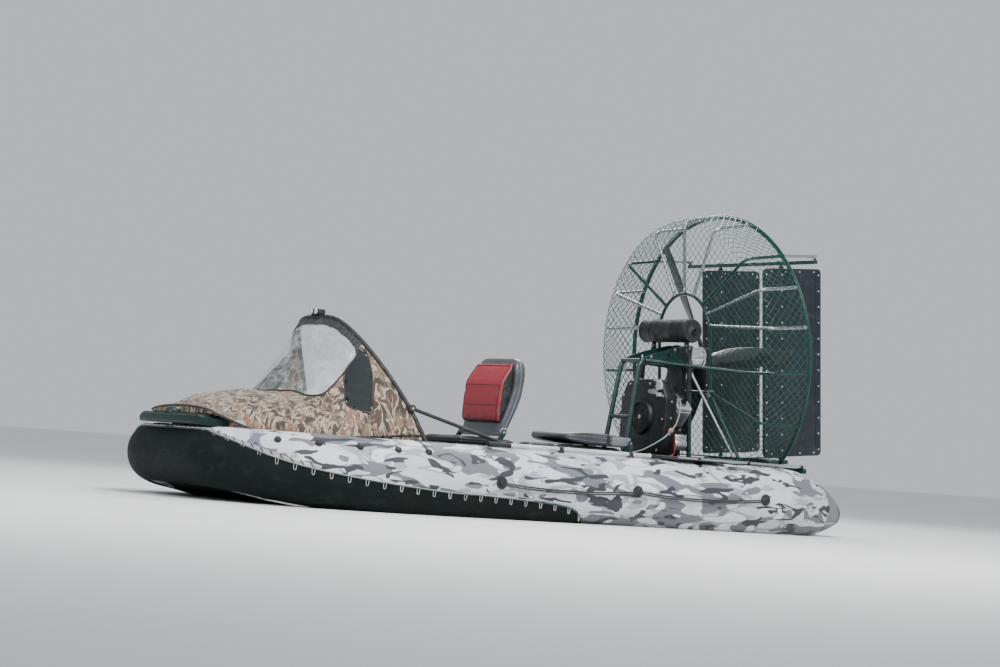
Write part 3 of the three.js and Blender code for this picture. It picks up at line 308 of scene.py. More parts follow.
def vinyl_finish(name, colour, roughness=0.42):
    """Grained vinyl, scuffed lighter in patches."""
    finish = Finish(name, Specular_IOR_Level=0.45)
    grain = finish.cells(420.0)
    scuff = finish.noise(14.0, 5.0, 0.65)
    pale = tuple(channel * 0.6 + 0.09 for channel in colour)
    finish.feed(
        Base_Color=finish.mix(scuff.rise(0.5, 0.8) * 0.45, colour, pale),
        Roughness=scuff * 0.2 + grain * 0.1 + (roughness - 0.1),
    )
    finish.bump(grain, 0.0006, 0.5)
    return finish


def brushed_finish(name, colour, roughness=0.32, along="X", **constants):
    """Drawn or cast metal with fine lines along one axis, dull spots and grime."""
    finish = Finish(name, Metallic=0.9, **constants)
    scale = {"X": (0.04, 1, 1), "Y": (1, 0.04, 1), "Z": (1, 1, 0.04)}[along]
    lines = finish.noise(420.0, 2.0, 0.5, place=finish.stretched(*scale))
    dull = finish.noise(31.0, 5.0, 0.7)
    darkening = tuple(channel * 0.35 for channel in colour)
    finish.feed(
        Base_Color=finish.mix(dull.rise(0.55, 0.8) * 0.55, colour, darkening),
        Roughness=lines * 0.14 + dull * 0.16 + (roughness - 0.12),
    )
    finish.bump(lines, 0.0003, 0.5)
    return finish


camouflage = camouflage_finish()
cone_grey = worn_finish("cone_grey", (0.2, 0.21, 0.225), 0.5, dusty=0.25)
cover_cloth = cloth_finish("cover_cloth", (0.005, 0.0095, 0.0085), fold=0.008, dust=0.06, sheen=0.0,
                           shine=0.12)
trim_green = cloth_finish("trim_green", (0.012, 0.04, 0.032), fold=0.002)
strap_black = cloth_finish("strap_black", (0.012, 0.012, 0.013), pitch=0.002, fold=0.002)
rope_black = cloth_finish("rope_black", (0.014, 0.015, 0.016), pitch=0.004, fold=0.002)
lace_white = cloth_finish("lace_white", (0.42, 0.42, 0.41), pitch=0.002, fold=0.001, dust=0.5)
band_green = worn_finish("band_green", (0.005, 0.024, 0.018), 0.5, dusty=0.05, height=0.0008,
                         Specular_IOR_Level=0.25)
frame_green = worn_finish(
    "frame_green", (0.006, 0.04, 0.036), 0.34, 0.2, dusty=0.15, spots=((0.13, 0.16, 0.16), 0.26),
    Coat_Weight=0.2,
)
net_green = worn_finish("net_green", (0.006, 0.085, 0.058), 0.3, 0.0, dusty=0.03, Specular_IOR_Level=0.35)
silver = brushed_finish("silver", (0.62, 0.64, 0.66))
rod_silver = brushed_finish("rod_silver", (0.36, 0.375, 0.40), 0.24)
cast_alloy = worn_finish("cast_alloy", (0.4, 0.41, 0.42), 0.5, 0.85, dusty=0.3, grain=180, height=0.0012)
bright_alloy = brushed_finish("bright_alloy", (0.82, 0.83, 0.84), 0.26)
pale_alloy = worn_finish("pale_alloy", (0.68, 0.68, 0.67), 0.42, 0.6, dusty=0.2, grain=200, height=0.0008)
lamp_green = worn_finish("lamp_green", (0.012, 0.03, 0.026), 0.36, dusty=0.15)
bolt_steel = brushed_finish("bolt_steel", (0.45, 0.46, 0.47), 0.3)
engine_black = worn_finish("engine_black", (0.006, 0.0075, 0.009), 0.46, 0.2, dusty=0.08, spread=0.16)
muffler_black = worn_finish(
    "muffler_black", (0.009, 0.009, 0.010), 0.5, 0.3, dusty=0.12, spots=((0.05, 0.028, 0.016), 0.28),
)
hot_grey = worn_finish("hot_grey", (0.17, 0.165, 0.16), 0.6, 0.5, dusty=0.3)
cap_grey = worn_finish("cap_grey", (0.035, 0.035, 0.037), 0.5, 0.4, dusty=0.2)
soft_black = worn_finish("soft_black", (0.013, 0.013, 0.014), 0.6, dusty=0.2, grain=500)
blade_black = worn_finish("blade_black", (0.014, 0.015, 0.017), 0.3, dusty=0.12, Coat_Weight=0.4)
rudder_slate = worn_finish("rudder_sheet", (0.020, 0.026, 0.034), 0.42, 0.35, dusty=0.15, height=0.0003)
board_grey = worn_finish("board_grey", (0.06, 0.065, 0.07), 0.66, dusty=0.45, grain=90, height=0.002)
reed_cloth = tent_finish()
# Near-black side-panel cloth: partly the net's own dark colour, partly painted shade of the tent's inside
dark_mesh_and_painted_shade = cloth_finish("dark_mesh_and_painted_shade", (0.012, 0.016, 0.018), pitch=0.006, fold=0.01, dust=0.1, sheen=0.03,
                          shine=0.2)
window_film = film_finish()
red_vinyl = vinyl_finish("red_vinyl", (0.3, 0.022, 0.032))
black_vinyl = vinyl_finish("black_vinyl", (0.016, 0.016, 0.018))
shell_grey = worn_finish("shell_grey", (0.075, 0.083, 0.095), 0.36, dusty=0.12, Coat_Weight=0.25)
shell_pale = worn_finish("shell_pale", (0.2, 0.215, 0.235), 0.4, dusty=0.12)
oar_white = worn_finish("oar_white", (0.62, 0.63, 0.64), 0.34, dusty=0.25)
tank_red = worn_finish("tank_red", (0.32, 0.018, 0.014), 0.4, dusty=0.25)
hose_cloudy = worn_finish("hose_cloudy", (0.27, 0.3, 0.29), 0.3, dusty=0.2)
bulb_pink = worn_finish("bulb_pink", (0.45, 0.25, 0.19), 0.5, dusty=0.3)
wire_red = worn_finish("wire_red", (0.4, 0.02, 0.015), 0.4)
brass = brushed_finish("brass", (0.42, 0.25, 0.08), 0.34)
lens_clear = worn_finish("lens_clear", (0.75, 0.78, 0.78), 0.12, dusty=0.1, Coat_Weight=0.6)


# Forms: each is a pair of points and faces
def unit(way):
    way = np.asarray(way, float)
    return way / np.linalg.norm(way)


def grid_faces(rows, columns, round_columns=False, round_rows=False):
    faces = []
    for r in range(rows if round_rows else rows - 1):
        for c in range(columns if round_columns else columns - 1):
            d, n = (r + 1) % rows, (c + 1) % columns
            faces.append((r * columns + c, r * columns + n, d * columns + n, d * columns + c))
    return faces


def closed_faces(rows, sides):
    """The faces of a tube of rows, with an end face at each end."""
    ends = [tuple(range(sides)), tuple(range((rows - 1) * sides, rows * sides))[::-1]]
    return grid_faces(rows, sides, True) + ends


def merged(*forms):
    points, faces = [], []
    for some, around in forms:
        shift = sum(len(p) for p in points)
        points.append(np.asarray(some, float))
        faces.extend([tuple(i + shift for i in face) for face in around])
    return np.concatenate(points), faces


def placed(form, matrix):
    turn, shift = np.array(matrix.to_3x3()), np.array(matrix.translation)
    return np.asarray(form[0]) @ turn.T + shift, form[1]


def on_thrust(form):
    return placed(form, THRUST)


def round_path(points, bend, steps=5, loop=False):
    """A path through points with its corners rounded over the bend length."""
    points = [np.asarray(p, float) for p in points]
    count = len(points)
    path = [] if loop else [points[0]]
    for i in range(0 if loop else 1, count if loop else count - 1):
        corner, before, after = points[i], points[i - 1], points[(i + 1) % count]
        start = corner + unit(before - corner) * bend
        end = corner + unit(after - corner) * bend
        for k in range(steps + 1):
            t = k / steps
            path.append(start * (1 - t) ** 2 + corner * 2 * t * (1 - t) + end * t * t)
    if not loop:
        path.append(points[-1])
    return np.array(path)


def smooth_path(points, per_span=6, loop=False):
    """A Catmull-Rom curve through points."""
    points = np.asarray(points, float)
    if loop:
        padded = np.vstack([points[-1], points, points[:2]])
    else:
        padded = np.vstack([2 * points[0] - points[1], points, 2 * points[-1] - points[-2]])
    path = []
    for i in range(1, len(padded) - 2):
        a, b, c, d = padded[i - 1:i + 3]
        for t in np.arange(per_span) / per_span:
            path.append(0.5 * (2 * b + (c - a) * t + (2 * a - 5 * b + 4 * c - d) * t ** 2
                               + (3 * b - a - 3 * c + d) * t ** 3))
    if not loop:
        path.append(points[-1])
    return np.array(path)


def gone_along(path):
    """The way gone along a path, at each of its points."""
    return np.concatenate([[0], np.cumsum(np.linalg.norm(np.diff(path, axis=0), axis=1))])


def point_at(path, gone, place):
    return np.array([np.interp(place, gone, path[:, k]) for k in range(path.shape[1])])


def loft(loops):
    """A closed form over a list of loops that have the same number of points."""
    loops = np.asarray(loops, float)
    return loops.reshape(-1, 3), closed_faces(*loops.shape[:2])


def prism(outline, start, end, edge, place):
    """A solid with this outline between two planes, its end edges rounded."""
    outline = np.array(outline, float)
    low, high = outline.min(0), outline.max(0)
    middle, half = (low + high) / 2, (high - low) / 2
    ease = [(edge * (1 - math.sin(t)), edge * (1 - math.cos(t))) for t in (0, math.pi / 4, math.pi / 2)]
    levels = [(inset, start + depth) for inset, depth in ease] + [(inset, end - depth)
                                                                  for inset, depth in ease[::-1]]
    loops = [np.c_[middle + (outline - middle) * (1 - inset / half), np.full(len(outline), w)]
             for inset, w in levels]
    return placed(loft(loops), place)


def sweep(path, radius, sides=10, loop=False, flat=1.0, upright=None):
    """A round or flattened rod along a path; flat scales the section across its upright way."""
    path = np.asarray(path, float)
    count = len(path)
    if loop:
        ways = np.roll(path, -1, 0) - np.roll(path, 1, 0)
    else:
        ways = np.gradient(path, axis=0)
    ways /= np.linalg.norm(ways, axis=1)[:, None]
    across = np.cross(ways[0], upright if upright is not None else (0.0, 0.05, 1.0))
    if np.linalg.norm(across) < 0.1:
        across = np.cross(ways[0], (1.0, 0.0, 0.0))
    angles = np.arange(sides) * 2 * math.pi / sides
    radii = np.broadcast_to(np.asarray(radius, float), (count,))
    rows = []
    for centre, way, reach in zip(path, ways, radii):
        if upright is not None:
            across = np.cross(way, upright)
        across = unit(across - way * np.dot(across, way))
        up = np.cross(across, way)
        rows.append(centre + reach * (np.cos(angles)[:, None] * across * flat + np.sin(angles)[:, None] * up))
    faces = grid_faces(count, sides, True, True) if loop else closed_faces(count, sides)
    return np.concatenate(rows), faces


def rod(start, end, radius, sides=12):
    return sweep([start, end], radius, sides)


def lathe(profile, start, way, sides=24):
    """A turned form from pairs of a place along its axis and a radius there."""
    way = unit(way)
    across = unit(np.cross(way, (0.1, 0.2, 1.0) if abs(way[2]) < 0.9 else (1.0, 0.1, 0.0)))
    up = np.cross(way, across)
    angles = np.arange(sides) * 2 * math.pi / sides
    circle = np.cos(angles)[:, None] * across + np.sin(angles)[:, None] * up
    rows = [np.asarray(start) + way * along + circle * max(radius, 1e-5) for along, radius in profile]
    return np.concatenate(rows), closed_faces(len(rows), sides)


def block(low, high, edge=0.004, steps=2):
    """A box with rounded edges."""
    box = bmesh.new()
    bmesh.ops.create_cube(box, size=1)
    size = np.subtract(high, low)
    for vert in box.verts:
        vert.co = Vector(np.array(vert.co) * size + np.add(low, high) / 2)
    edge = min(edge, 0.45 * float(size.min()))
    bmesh.ops.bevel(box, geom=box.edges[:], offset=edge, segments=steps, affect="EDGES", profile=0.5)
    box.verts.index_update()
    form = np.array([vert.co for vert in box.verts]), [tuple(v.index for v in face.verts)
                                                       for face in box.faces]
    box.free()
    return form


def plate(outline, thickness, place, holes=()):
    """A flat plate from an outline with holes, its sheet along the place's first two axes."""
    loops = [list(outline), *[list(hole) for hole in holes]]
    triangles = tessellate_polygon([[Vector((u, v, 0)) for u, v in loop] for loop in loops])
    flat = [point for loop in loops for point in loop]
    count = len(flat)
    points = np.array([[u, v, w] for w in (-thickness / 2, thickness / 2) for u, v in flat])
    faces = [tuple(face) for face in triangles] + [tuple(i + count for i in face[::-1]) for face in triangles]
    first = 0
    for loop in loops:
        size = len(loop)
        for i in range(size):
            a, b = first + i, first + (i + 1) % size
            faces.append((a, b, b + count, a + count))
        first += size
    return placed((points, faces), place)


def circle_outline(u, v, radius, count=20):
    return [(u + radius * math.cos(t), v + radius * math.sin(t))
            for t in np.arange(count) * 2 * math.pi / count]


def round_outline(corners, radius, steps=4):
    """An outline whose corners are rounded over a length."""
    path = round_path([(u, v, 0) for u, v in corners], radius, steps, loop=True)
    return [(u, v) for u, v, _ in path]


XZ = Matrix(((1, 0, 0, 0), (0, 0, 1, 0), (0, 1, 0, 0), (0, 0, 0, 1)))
YZ = Matrix(((0, 0, 1, 0), (1, 0, 0, 0), (0, 1, 0, 0), (0, 0, 0, 1)))


def upright_plate(outline, y, thickness, holes=()):
    """A plate in the boat's side view, from [x, z] pairs."""
    return plate(outline, thickness, Matrix.Translation((0, y, 0)) @ XZ, holes)


def cross_plate(outline, x, thickness, holes=()):
    """A plate across the boat, from [y, z] pairs."""
    return plate(outline, thickness, Matrix.Translation((x, 0, 0)) @ YZ, holes)


def skin(grid, thickness, kept=None):
    """A closed sheet over a grid of points; kept says which cells it has."""
    grid = np.asarray(grid, float)
    rows, columns = grid.shape[:2]
    along, across = np.gradient(grid, axis=0), np.gradient(grid, axis=1)
    normals = np.cross(across, along)
    normals /= np.linalg.norm(normals, axis=2)[..., None] + 1e-12
    points = np.concatenate([grid.reshape(-1, 3), (grid + normals * thickness).reshape(-1, 3)])
    layer = rows * columns
    cells = {(r, c) for r in range(rows - 1) for c in range(columns - 1) if kept is None or kept(r, c)}
    faces = []
    for r, c in sorted(cells):
        loop = [(r, c), (r, c + 1), (r + 1, c + 1), (r + 1, c)]
        below = [i * columns + j for i, j in loop]
        faces += [tuple(below), tuple(i + layer for i in below[::-1])]
        for k, beside in enumerate([(r - 1, c), (r, c + 1), (r + 1, c), (r, c - 1)]):
            if beside not in cells:
                a, b = below[k], below[(k + 1) % 4]
                faces.append((b, a, a + layer, b + layer))
    return points, faces


def bolt(place, way, radius=0.006, height=0.005):
    """A hex head on a washer."""
    way = unit(way)
    washer = lathe([(0, radius * 1.5), (0.0014, radius * 1.5), (0.0018, radius * 1.3)], place, way, 14)
    head = lathe([(0.0015, radius), (height, radius), (height + 0.001, radius * 0.8)], place, way, 6)
    return merged(washer, head)


def bolts(places, way, radius=0.006, height=0.005):
    return merged(*[bolt(place, way, radius, height) for place in places])


def rivet(place, way, radius=0.005):
    return lathe([(0, radius), (radius * 0.3, radius * 0.85), (radius * 0.55, radius * 0.3)], place, way, 8)


class Piece:
    """One object of the boat, made of closed forms that each have a finish."""

    def __init__(self, name, slot, body="hull", replaces=()):
        self.name, self.slot, self.body, self.replaces = name, slot, body, replaces
        self.forms, self.finishes = [], []

    def add(self, form, finish, smooth=True, choose=None):
        """choose gives another finish for some faces by their middle, or None."""
        self.forms.append((form, finish, smooth, choose))
        return self

    def index_of(self, finish):
        if finish not in self.finishes:
            self.finishes.append(finish)
        return self.finishes.index(finish)

    def build(self, sharp=35):
        mesh = bpy.data.meshes.new(self.name)
        points, faces = merged(*[form for form, *_ in self.forms])
        mesh.from_pydata(points.tolist(), [], faces)
        materials, smooths = [], []
        for (some, around), finish, smooth, choose in self.forms:
            for face in around:
                other = choose(np.mean([some[i] for i in face], axis=0)) if choose else None
                materials.append(self.index_of(other or finish))
                smooths.append(smooth)
        mesh.polygons.foreach_set("material_index", materials)
        mesh.polygons.foreach_set("use_smooth", smooths)
        for finish in self.finishes:
            mesh.materials.append(finish.material)
        solid = bmesh.new()
        solid.from_mesh(mesh)
        bmesh.ops.remove_doubles(solid, verts=solid.verts, dist=1.5e-5)
        bmesh.ops.recalc_face_normals(solid, faces=solid.faces)
        solid.to_mesh(mesh)
        solid.free()
        mesh.set_sharp_from_angle(angle=math.radians(sharp))
        made = bpy.data.objects.new(self.name, mesh)
        bpy.context.scene.collection.objects.link(made)
        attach(made, self.body)
        if self.replaces:
            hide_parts(*self.replaces)
        return made


# Fuel line: down from the carburettor, past the shroud, and round to the tank
FUEL_ROUTE = [
    (-1.170, 0.0526, 0.850), (-1.170, 0.092, 0.852), (-1.152, 0.168, 0.856), (-1.146, 0.232, 0.808),
    (-1.118, 0.262, 0.722), (-1.094, 0.268, 0.660), (-1.022, 0.266, 0.584), (-0.950, 0.264, 0.540),
    (-0.850, 0.266, 0.492), (-0.738, 0.272, 0.464), (-0.722, 0.286, 0.404), (-0.738, 0.302, 0.330),
    (-0.786, 0.310, 0.296), (-0.8597, 0.312, 0.292),
]
FUEL_BEND = 0.026
FUEL_RADIUS = 0.0045


def make_fuel_line():
    path = round_path(FUEL_ROUTE, FUEL_BEND, 4)
    line = Piece("fuel_hose", "clear_hose", replaces=["fuel_line"])
    line.add(sweep(path, FUEL_RADIUS, 12), hose_cloudy)
    hose = line.build()
    start, end = np.array(FUEL_ROUTE[5]), np.array(FUEL_ROUTE[6])
    reach = np.linalg.norm(end - start)
    bulb = Piece("fuel_bulb", "bulb_rubber", replaces=["primer_bulb"])
    profile = [
        (0.3, 0.0047), (0.3, 0.0075), (0.34, 0.0085), (0.36, 0.012), (0.42, 0.0158), (0.5, 0.017),
        (0.58, 0.0158), (0.64, 0.012), (0.66, 0.0085), (0.7, 0.0075), (0.7, 0.0047),
    ]
    ring = [(along * reach, radius) for along, radius in profile]
    points, faces = lathe(ring, start, end - start, 20)
    bulb.add((points, faces[:-2]), bulb_pink)
    primer = bulb.build(sharp=60)


make_fuel_line()


# Hull
def bow_bend(share):
    """The tubes' centre line round the port bow, in plan, with its way."""
    a, b, c, d = np.array([(BEND_X, TUBE_Y), (1.56, TUBE_Y), (BOW_X, 0.61), (BOW_X, BOW_HALF)])
    t, u = share, 1 - share
    place = a * u ** 3 + 3 * b * u * u * t + 3 * c * u * t * t + d * t ** 3
    way = 3 * (b - a) * u * u + 6 * (c - b) * u * t + 3 * (d - c) * t * t
    return place, unit(way)


def bend_radius(share):
    ease = share * share * (3 - 2 * share)
    return TUBE_RADIUS + (BOW_RADIUS - TUBE_RADIUS) * ease


# Stern cone, as x, radius and height of the middle
STERN_CONE = [
    (-1.995, 0.042, 0.182), (-1.96, 0.078, 0.19), (-1.88, 0.124, 0.203),
    (-1.78, 0.166, 0.214), (-1.66, 0.202, 0.224), (-1.53, TUBE_RADIUS, TUBE_BOTTOM + TUBE_RADIUS),
]


def tube_station(share):
    place, way = bow_bend(share)
    radius = bend_radius(share)
    return np.array((*place, TUBE_TOP - radius)), np.array((-way[1], way[0], 0.0)), radius


def tube_stations(bend_steps=28, side_steps=26):
    """Stations of the port tube from the stern tip to the middle of the bow: centre, outward way, radius."""
    stations = []
    for x, radius, z in smooth_path(STERN_CONE, 4)[:-1]:
        stations.append((np.array((x, TUBE_Y, z)), np.array((0.0, 1.0, 0.0)), radius))
    for x in np.linspace(STERN_CONE[-1][0], BEND_X, side_steps)[:-1]:
        stations.append((np.array((x, TUBE_Y, TUBE_BOTTOM + TUBE_RADIUS)), np.array((0.0, 1.0, 0.0)),
                         TUBE_RADIUS))
    for share in np.linspace(0, 1, bend_steps):
        stations.append(tube_station(share))
    for y in np.linspace(BOW_HALF, 0, 5)[1:]:
        stations.append((np.array((BOW_X, y, TUBE_TOP - BOW_RADIUS)), np.array((1.0, 0.0, 0.0)), BOW_RADIUS))
    return stations


def with_mirror(stations):
    starboard = [(c * (1, -1, 1), o * (1, -1, 1), r) for c, o, r in stations[-2::-1]]
    return stations + starboard


def on_section(station, angle, stand=0.0):
    """A point on a tube's section, by its angle up from the outward way."""
    centre, out, radius = station
    reach = radius + stand
    return centre + out * reach * math.cos(angle) + np.array((0, 0, reach * math.sin(angle)))


TUBE_SIDES = 48
SIDE_SEAM_ANGLE = math.radians(-32)
GREY_CONE_X = -1.8
TIP_X = -1.945


def make_tubes():
    piece = Piece("inflated_tubes", "camouflage", replaces=["port_tube", "starboard_tube", "bow_tube"])
    stations = with_mirror(tube_stations())
    angles = np.arange(TUBE_SIDES) * 2 * math.pi / TUBE_SIDES
    rows = []
    for i, station in enumerate(stations):
        ripple = 0.0012 * math.sin(i * 1.7)
        rows.append([on_section(station, a, -0.002 + ripple * math.sin(3 * a + i * 0.4)) for a in angles])

    def cone(middle):
        if middle[0] < TIP_X:
            return soft_black
        return cone_grey if middle[0] < GREY_CONE_X else None

    piece.add(loft(rows), camouflage, choose=cone)
    # Seam tapes round the tube, one at the cone's root and at panel joints
    for x in (GREY_CONE_X, -1.05, -0.1):
        for side in (1, -1):
            radius = float(np.interp(x, [s[0] for s in STERN_CONE], [s[1] for s in STERN_CONE]))
            height = float(np.interp(x, [s[0] for s in STERN_CONE], [s[2] for s in STERN_CONE]))
            ring = [(x, side * (TUBE_Y + radius * math.cos(a)), height + radius * math.sin(a))
                    for a in angles]
            piece.add(sweep(ring, 0.0014, 6, loop=True), camouflage if x > GREY_CONE_X else soft_black)
    # Long seam low on the outer side, and the patch that the rear grab handle sits on
    for side in (1, -1):
        seam = [on_section(s, SIDE_SEAM_ANGLE) * (1, side, 1) for s in tube_stations()[6:40]]
        piece.add(sweep(seam, 0.003, 6), camouflage)
        piece.add(lathe([(0, 0.03), (0.012, 0.028), (0.03, 0.012), (0.034, 0.004)],
                        (-1.985, side * TUBE_Y, 0.182), (-1, 0, 0), 20), soft_black)
    return piece.build(sharp=50)


COVER_AFT = 0.02
HEM_LINE = np.array([
    (0.02, 0.06), (0.17, 0.139), (0.66, 0.172), (1.0, 0.182), (1.48, 0.224),
    (1.85, 0.285), (2.12, 0.385), (2.2, 0.424),
])
COVER_LOW = math.radians(-75)


def hem_height(x):
    smooth = smooth_path(HEM_LINE, 6)
    return float(np.interp(x, smooth[:, 0], smooth[:, 1]))


def cover_stations():
    stations = []
    for x in np.linspace(COVER_AFT, BEND_X, 26)[:-1]:
        stations.append((np.array((x, TUBE_Y, TUBE_BOTTOM + TUBE_RADIUS)), np.array((0.0, 1.0, 0.0)),
                         TUBE_RADIUS))
    stations += tube_stations(34)[-38:]
    return with_mirror(stations)


def hem_angle(station, stand=0.012):
    centre, out, radius = station
    height = hem_height(min(centre[0] + out[0] * radius, 2.2))
    return math.asin(max(-0.95, min(0.95, (height - centre[2]) / (radius + stand))))


def make_cover():
    """The black laced cover round the lower outside of the tubes."""
    piece = Piece("hull_cover", "black_fabric", replaces=["bow_cover"])
    stations = cover_stations()
    grid = []
    for i, station in enumerate(stations):
        high = hem_angle(station)
        row = []
        for k, angle in enumerate(np.linspace(COVER_LOW, high, 22)):
            near_hem = max(0.0, (k - 14) / 7)
            pucker = 0.0016 * math.sin(i * 2.1) * near_hem + 0.0012 * math.sin(i * 0.6 + k * 0.5)
            row.append(on_section(station, angle, 0.0085 + pucker))
        grid.append(row)
    piece.add(skin(grid, -0.0025), cover_cloth)
    hem = [on_section(s, hem_angle(s), 0.0095) for s in stations]
    piece.add(sweep(hem, 0.0045, 8), trim_green)
    made = piece.build(sharp=60)
    area = sheet_area(np.array(grid))
    return made


LOOP_STEP = 0.1
LACE_STEP = 0.055


def out_from_middle(point):
    """The way out from the boat's middle line, in plan, near the port bow."""
    return max(point[0] - 1.5, 0.0), point[1]


def make_lacing():
    """Cord loops under the cover's hem, and the laced strip below the bow band."""
    piece = Piece("hull_lacing", "black_fabric")
    stations = cover_stations()
    hem = smooth_path([on_section(s, hem_angle(s) - 0.012, 0.0125) for s in stations[:len(stations) // 2]], 3)
    gone = gone_along(hem)
    for place in np.arange(0.06, gone[-1] - 0.3, LOOP_STEP):
        first, last = (point_at(hem, gone, place + shift) for shift in (0, 0.016))
        drop = np.array((0, 0, -0.026)) - unit((*out_from_middle(first), 0.0)) * 0.002
        for side in (1, -1):
            loop = np.array([first, first * 0.85 + last * 0.15 + drop, first * 0.15 + last * 0.85 + drop,
                             last])
            piece.add(sweep(smooth_path(loop * (1, side, 1), 3), 0.0018, 6), lace_white)
    for side in (1, -1):
        edge = np.array([point for point in hem if point[0] > 0.4]) * (1, side, 1)
        piece.add(sweep(edge + (0, 0, 0.006), 0.0026, 6), lace_white)
    strip, laces = [], []
    bow = [s for s in stations if s[0][0] > 1.6]
    for station in bow:
        strip.append(on_section(station, hem_angle(station) + 0.07, 0.004))
    piece.add(sweep(strip, 0.011, 8, flat=0.25, upright=(0, 0, 1)), lace_white)
    path = smooth_path(strip, 4)
    gone = gone_along(path)
    for place in np.arange(0.03, gone[-1] - 0.05, LACE_STEP):
        low, high = point_at(path, gone, place), point_at(path, gone, place + 0.03)
        out = unit((low[0] - 1.2, low[1], 0))
        laces.append(rod(low + out * 0.005 - (0, 0, 0.014), high + out * 0.003 + (0, 0, 0.014), 0.003, 6))
    piece.add(merged(*laces), rope_black)
    return piece.build()


# Bow band on the bow tube's top, its front edge and its lamp
BAND_BACK = 1.999
BAND_FRONT = 2.205
BAND_HALF = 0.37
BAND_TOP = 0.508
LAMP_X = 2.155


def make_bow_band():
    piece = Piece("bow_band_pad", "green_paint", replaces=["bow_band"])
    rows = []
    for y in np.linspace(-BAND_HALF, BAND_HALF, 25):
        end = max(0.0, (abs(y) - 0.3) / 0.07)
        top = BAND_TOP - 0.004 - 0.018 * end ** 2
        front = BAND_FRONT - 0.03 * (abs(y) / BAND_HALF) ** 2
        section = round_outline([
            (BAND_BACK, TUBE_TOP + 0.001), (front, TUBE_TOP + 0.001), (front, top), (BAND_BACK, top - 0.004),
        ], 0.014, 4)
        rows.append([(x, y, z) for x, z in section])
    piece.add(loft(rows), band_green)
    for z in (TUBE_TOP + 0.012, BAND_TOP - 0.014):
        stitch = [(BAND_FRONT - 0.03 * (y / BAND_HALF) ** 2 + 0.0004, y, z)
                  for y in np.linspace(-0.33, 0.33, 23)]
        piece.add(sweep(stitch, 0.0016, 6), trim_green)
    return piece.build(sharp=50)


def make_bow_lamp():
    piece = Piece("bow_dome", "black", replaces=["bow_lamp"])
    dome = [(0, 0.048), (0.005, 0.048), (0.006, 0.045), (0.012, 0.044)]
    dome += [(0.012 + 0.022 * math.sin(a), 0.042 * math.cos(a)) for a in np.linspace(0.1, math.pi / 2, 7)]
    piece.add(lathe(dome, (LAMP_X, 0, BAND_TOP - 0.003), (0, 0, 1), 32), lamp_green)
    for turn in range(4):
        angle = math.pi / 4 + turn * math.pi / 2
        place = (LAMP_X + 0.0465 * math.cos(angle), 0.0465 * math.sin(angle), BAND_TOP + 0.001)
        piece.add(rivet(place, (0, 0, 1), 0.003), bolt_steel)
    return piece.build()


GRAB_KNOBS = (0.62, -0.31, -1.25)
GRAB_Z = 0.25


def make_grab_line(side, sign):
    """A doubled rope with a slight sag between its knobs."""
    piece = Piece(f"{side}_grab_rope", "black", replaces=[f"{side}_grab_line"])
    y = sign * (TUBE_Y + TUBE_RADIUS)
    for lift in (0.0, -0.011):
        path = []
        for start, end in zip(GRAB_KNOBS, GRAB_KNOBS[1:]):
            for share in np.linspace(0, 1, 12, endpoint=False):
                sag = 0.022 * 4 * share * (1 - share)
                path.append((start + (end - start) * share, y + sign * 0.0125, GRAB_Z + lift - sag))
        path.append((GRAB_KNOBS[-1], y + sign * 0.0125, GRAB_Z + lift))
        piece.add(sweep(path, 0.0046, 8), rope_black)
    for x in GRAB_KNOBS:
        knob = [(-0.004, 0.034), (0.002, 0.034), (0.004, 0.022), (0.016, 0.02), (0.0205, 0.016),
                (0.0218, 0.006)]
        piece.add(lathe(knob, (x, y, GRAB_Z), (0, sign, 0), 22), soft_black)
    return piece.build()


# Tent
TENT_FOOT_INSET = 0.084
# Stations from aft to fore: share of the bow bend at the foot, crown x and z, how fast the arch rises,
# how tight its shoulders are (less is tighter), and how far its sides lean in
TENT_STATIONS = [
    (0.0, 1.306, 1.092, 0.62, 0.5, 0.44), (0.07, 1.352, 1.020, 0.64, 0.58, 0.4),
    (0.14, 1.430, 0.880, 0.68, 0.68, 0.33),
    (0.22, 1.510, 0.745, 0.74, 0.82, 0.22), (0.31, 1.580, 0.668, 0.82, 0.95, 0.12),
    (0.43, 1.720, 0.660, 0.9, 1, 0.1),
    (0.56, 1.890, 0.638, 0.95, 1, 0.1), (0.68, 2.020, 0.600, 1.0, 1, 0.1), (None, 2.098, 0.545, 1.0, 1, 0.1),
]
TENT_FRONT_FOOT = (2.098, 0.376, 0.514)


def tent_foot(share):
    if share is None:
        return TENT_FRONT_FOOT
    place, way = bow_bend(share)
    radius = bend_radius(share)
    height = TUBE_TOP - radius + math.sqrt(radius ** 2 - TENT_FOOT_INSET ** 2) + 0.002
    return place[0] + way[1] * TENT_FOOT_INSET, place[1] - way[0] * TENT_FOOT_INSET, height


TENT_ROWS_PER_STATION = 6
TENT_TABLE = smooth_path(
    [(*tent_foot(share), *rest) for share, *rest in TENT_STATIONS], TENT_ROWS_PER_STATION,
)


def tent_point(row, angle, stand=0.0):
    """A point on the tent by its row in the smooth table, also between two rows, and its arch angle."""
    row = min(max(row, 0), len(TENT_TABLE) - 1)
    low = min(int(row), len(TENT_TABLE) - 2)
    foot_x, foot_y, foot_z, crown_x, crown_z, square, shoulder, lean = (
        TENT_TABLE[low] * (1 - (row - low)) + TENT_TABLE[low + 1] * (row - low)
    )
    lift = max(math.sin(angle), 0.0)
    across = math.copysign(abs(math.cos(angle)) ** min(shoulder, 1.0), math.cos(angle))
    if abs(across) < 1e-6:
        across = 0.0
    point = np.array((
        foot_x + (crown_x - foot_x) * lift ** 0.8,
        foot_y * across * (1 - lean * lift ** square),
        foot_z + (crown_z - foot_z) * lift ** square,
    ))
    middle = np.array((foot_x, 0, foot_z - 0.2))
    return point + unit(point - middle) * stand


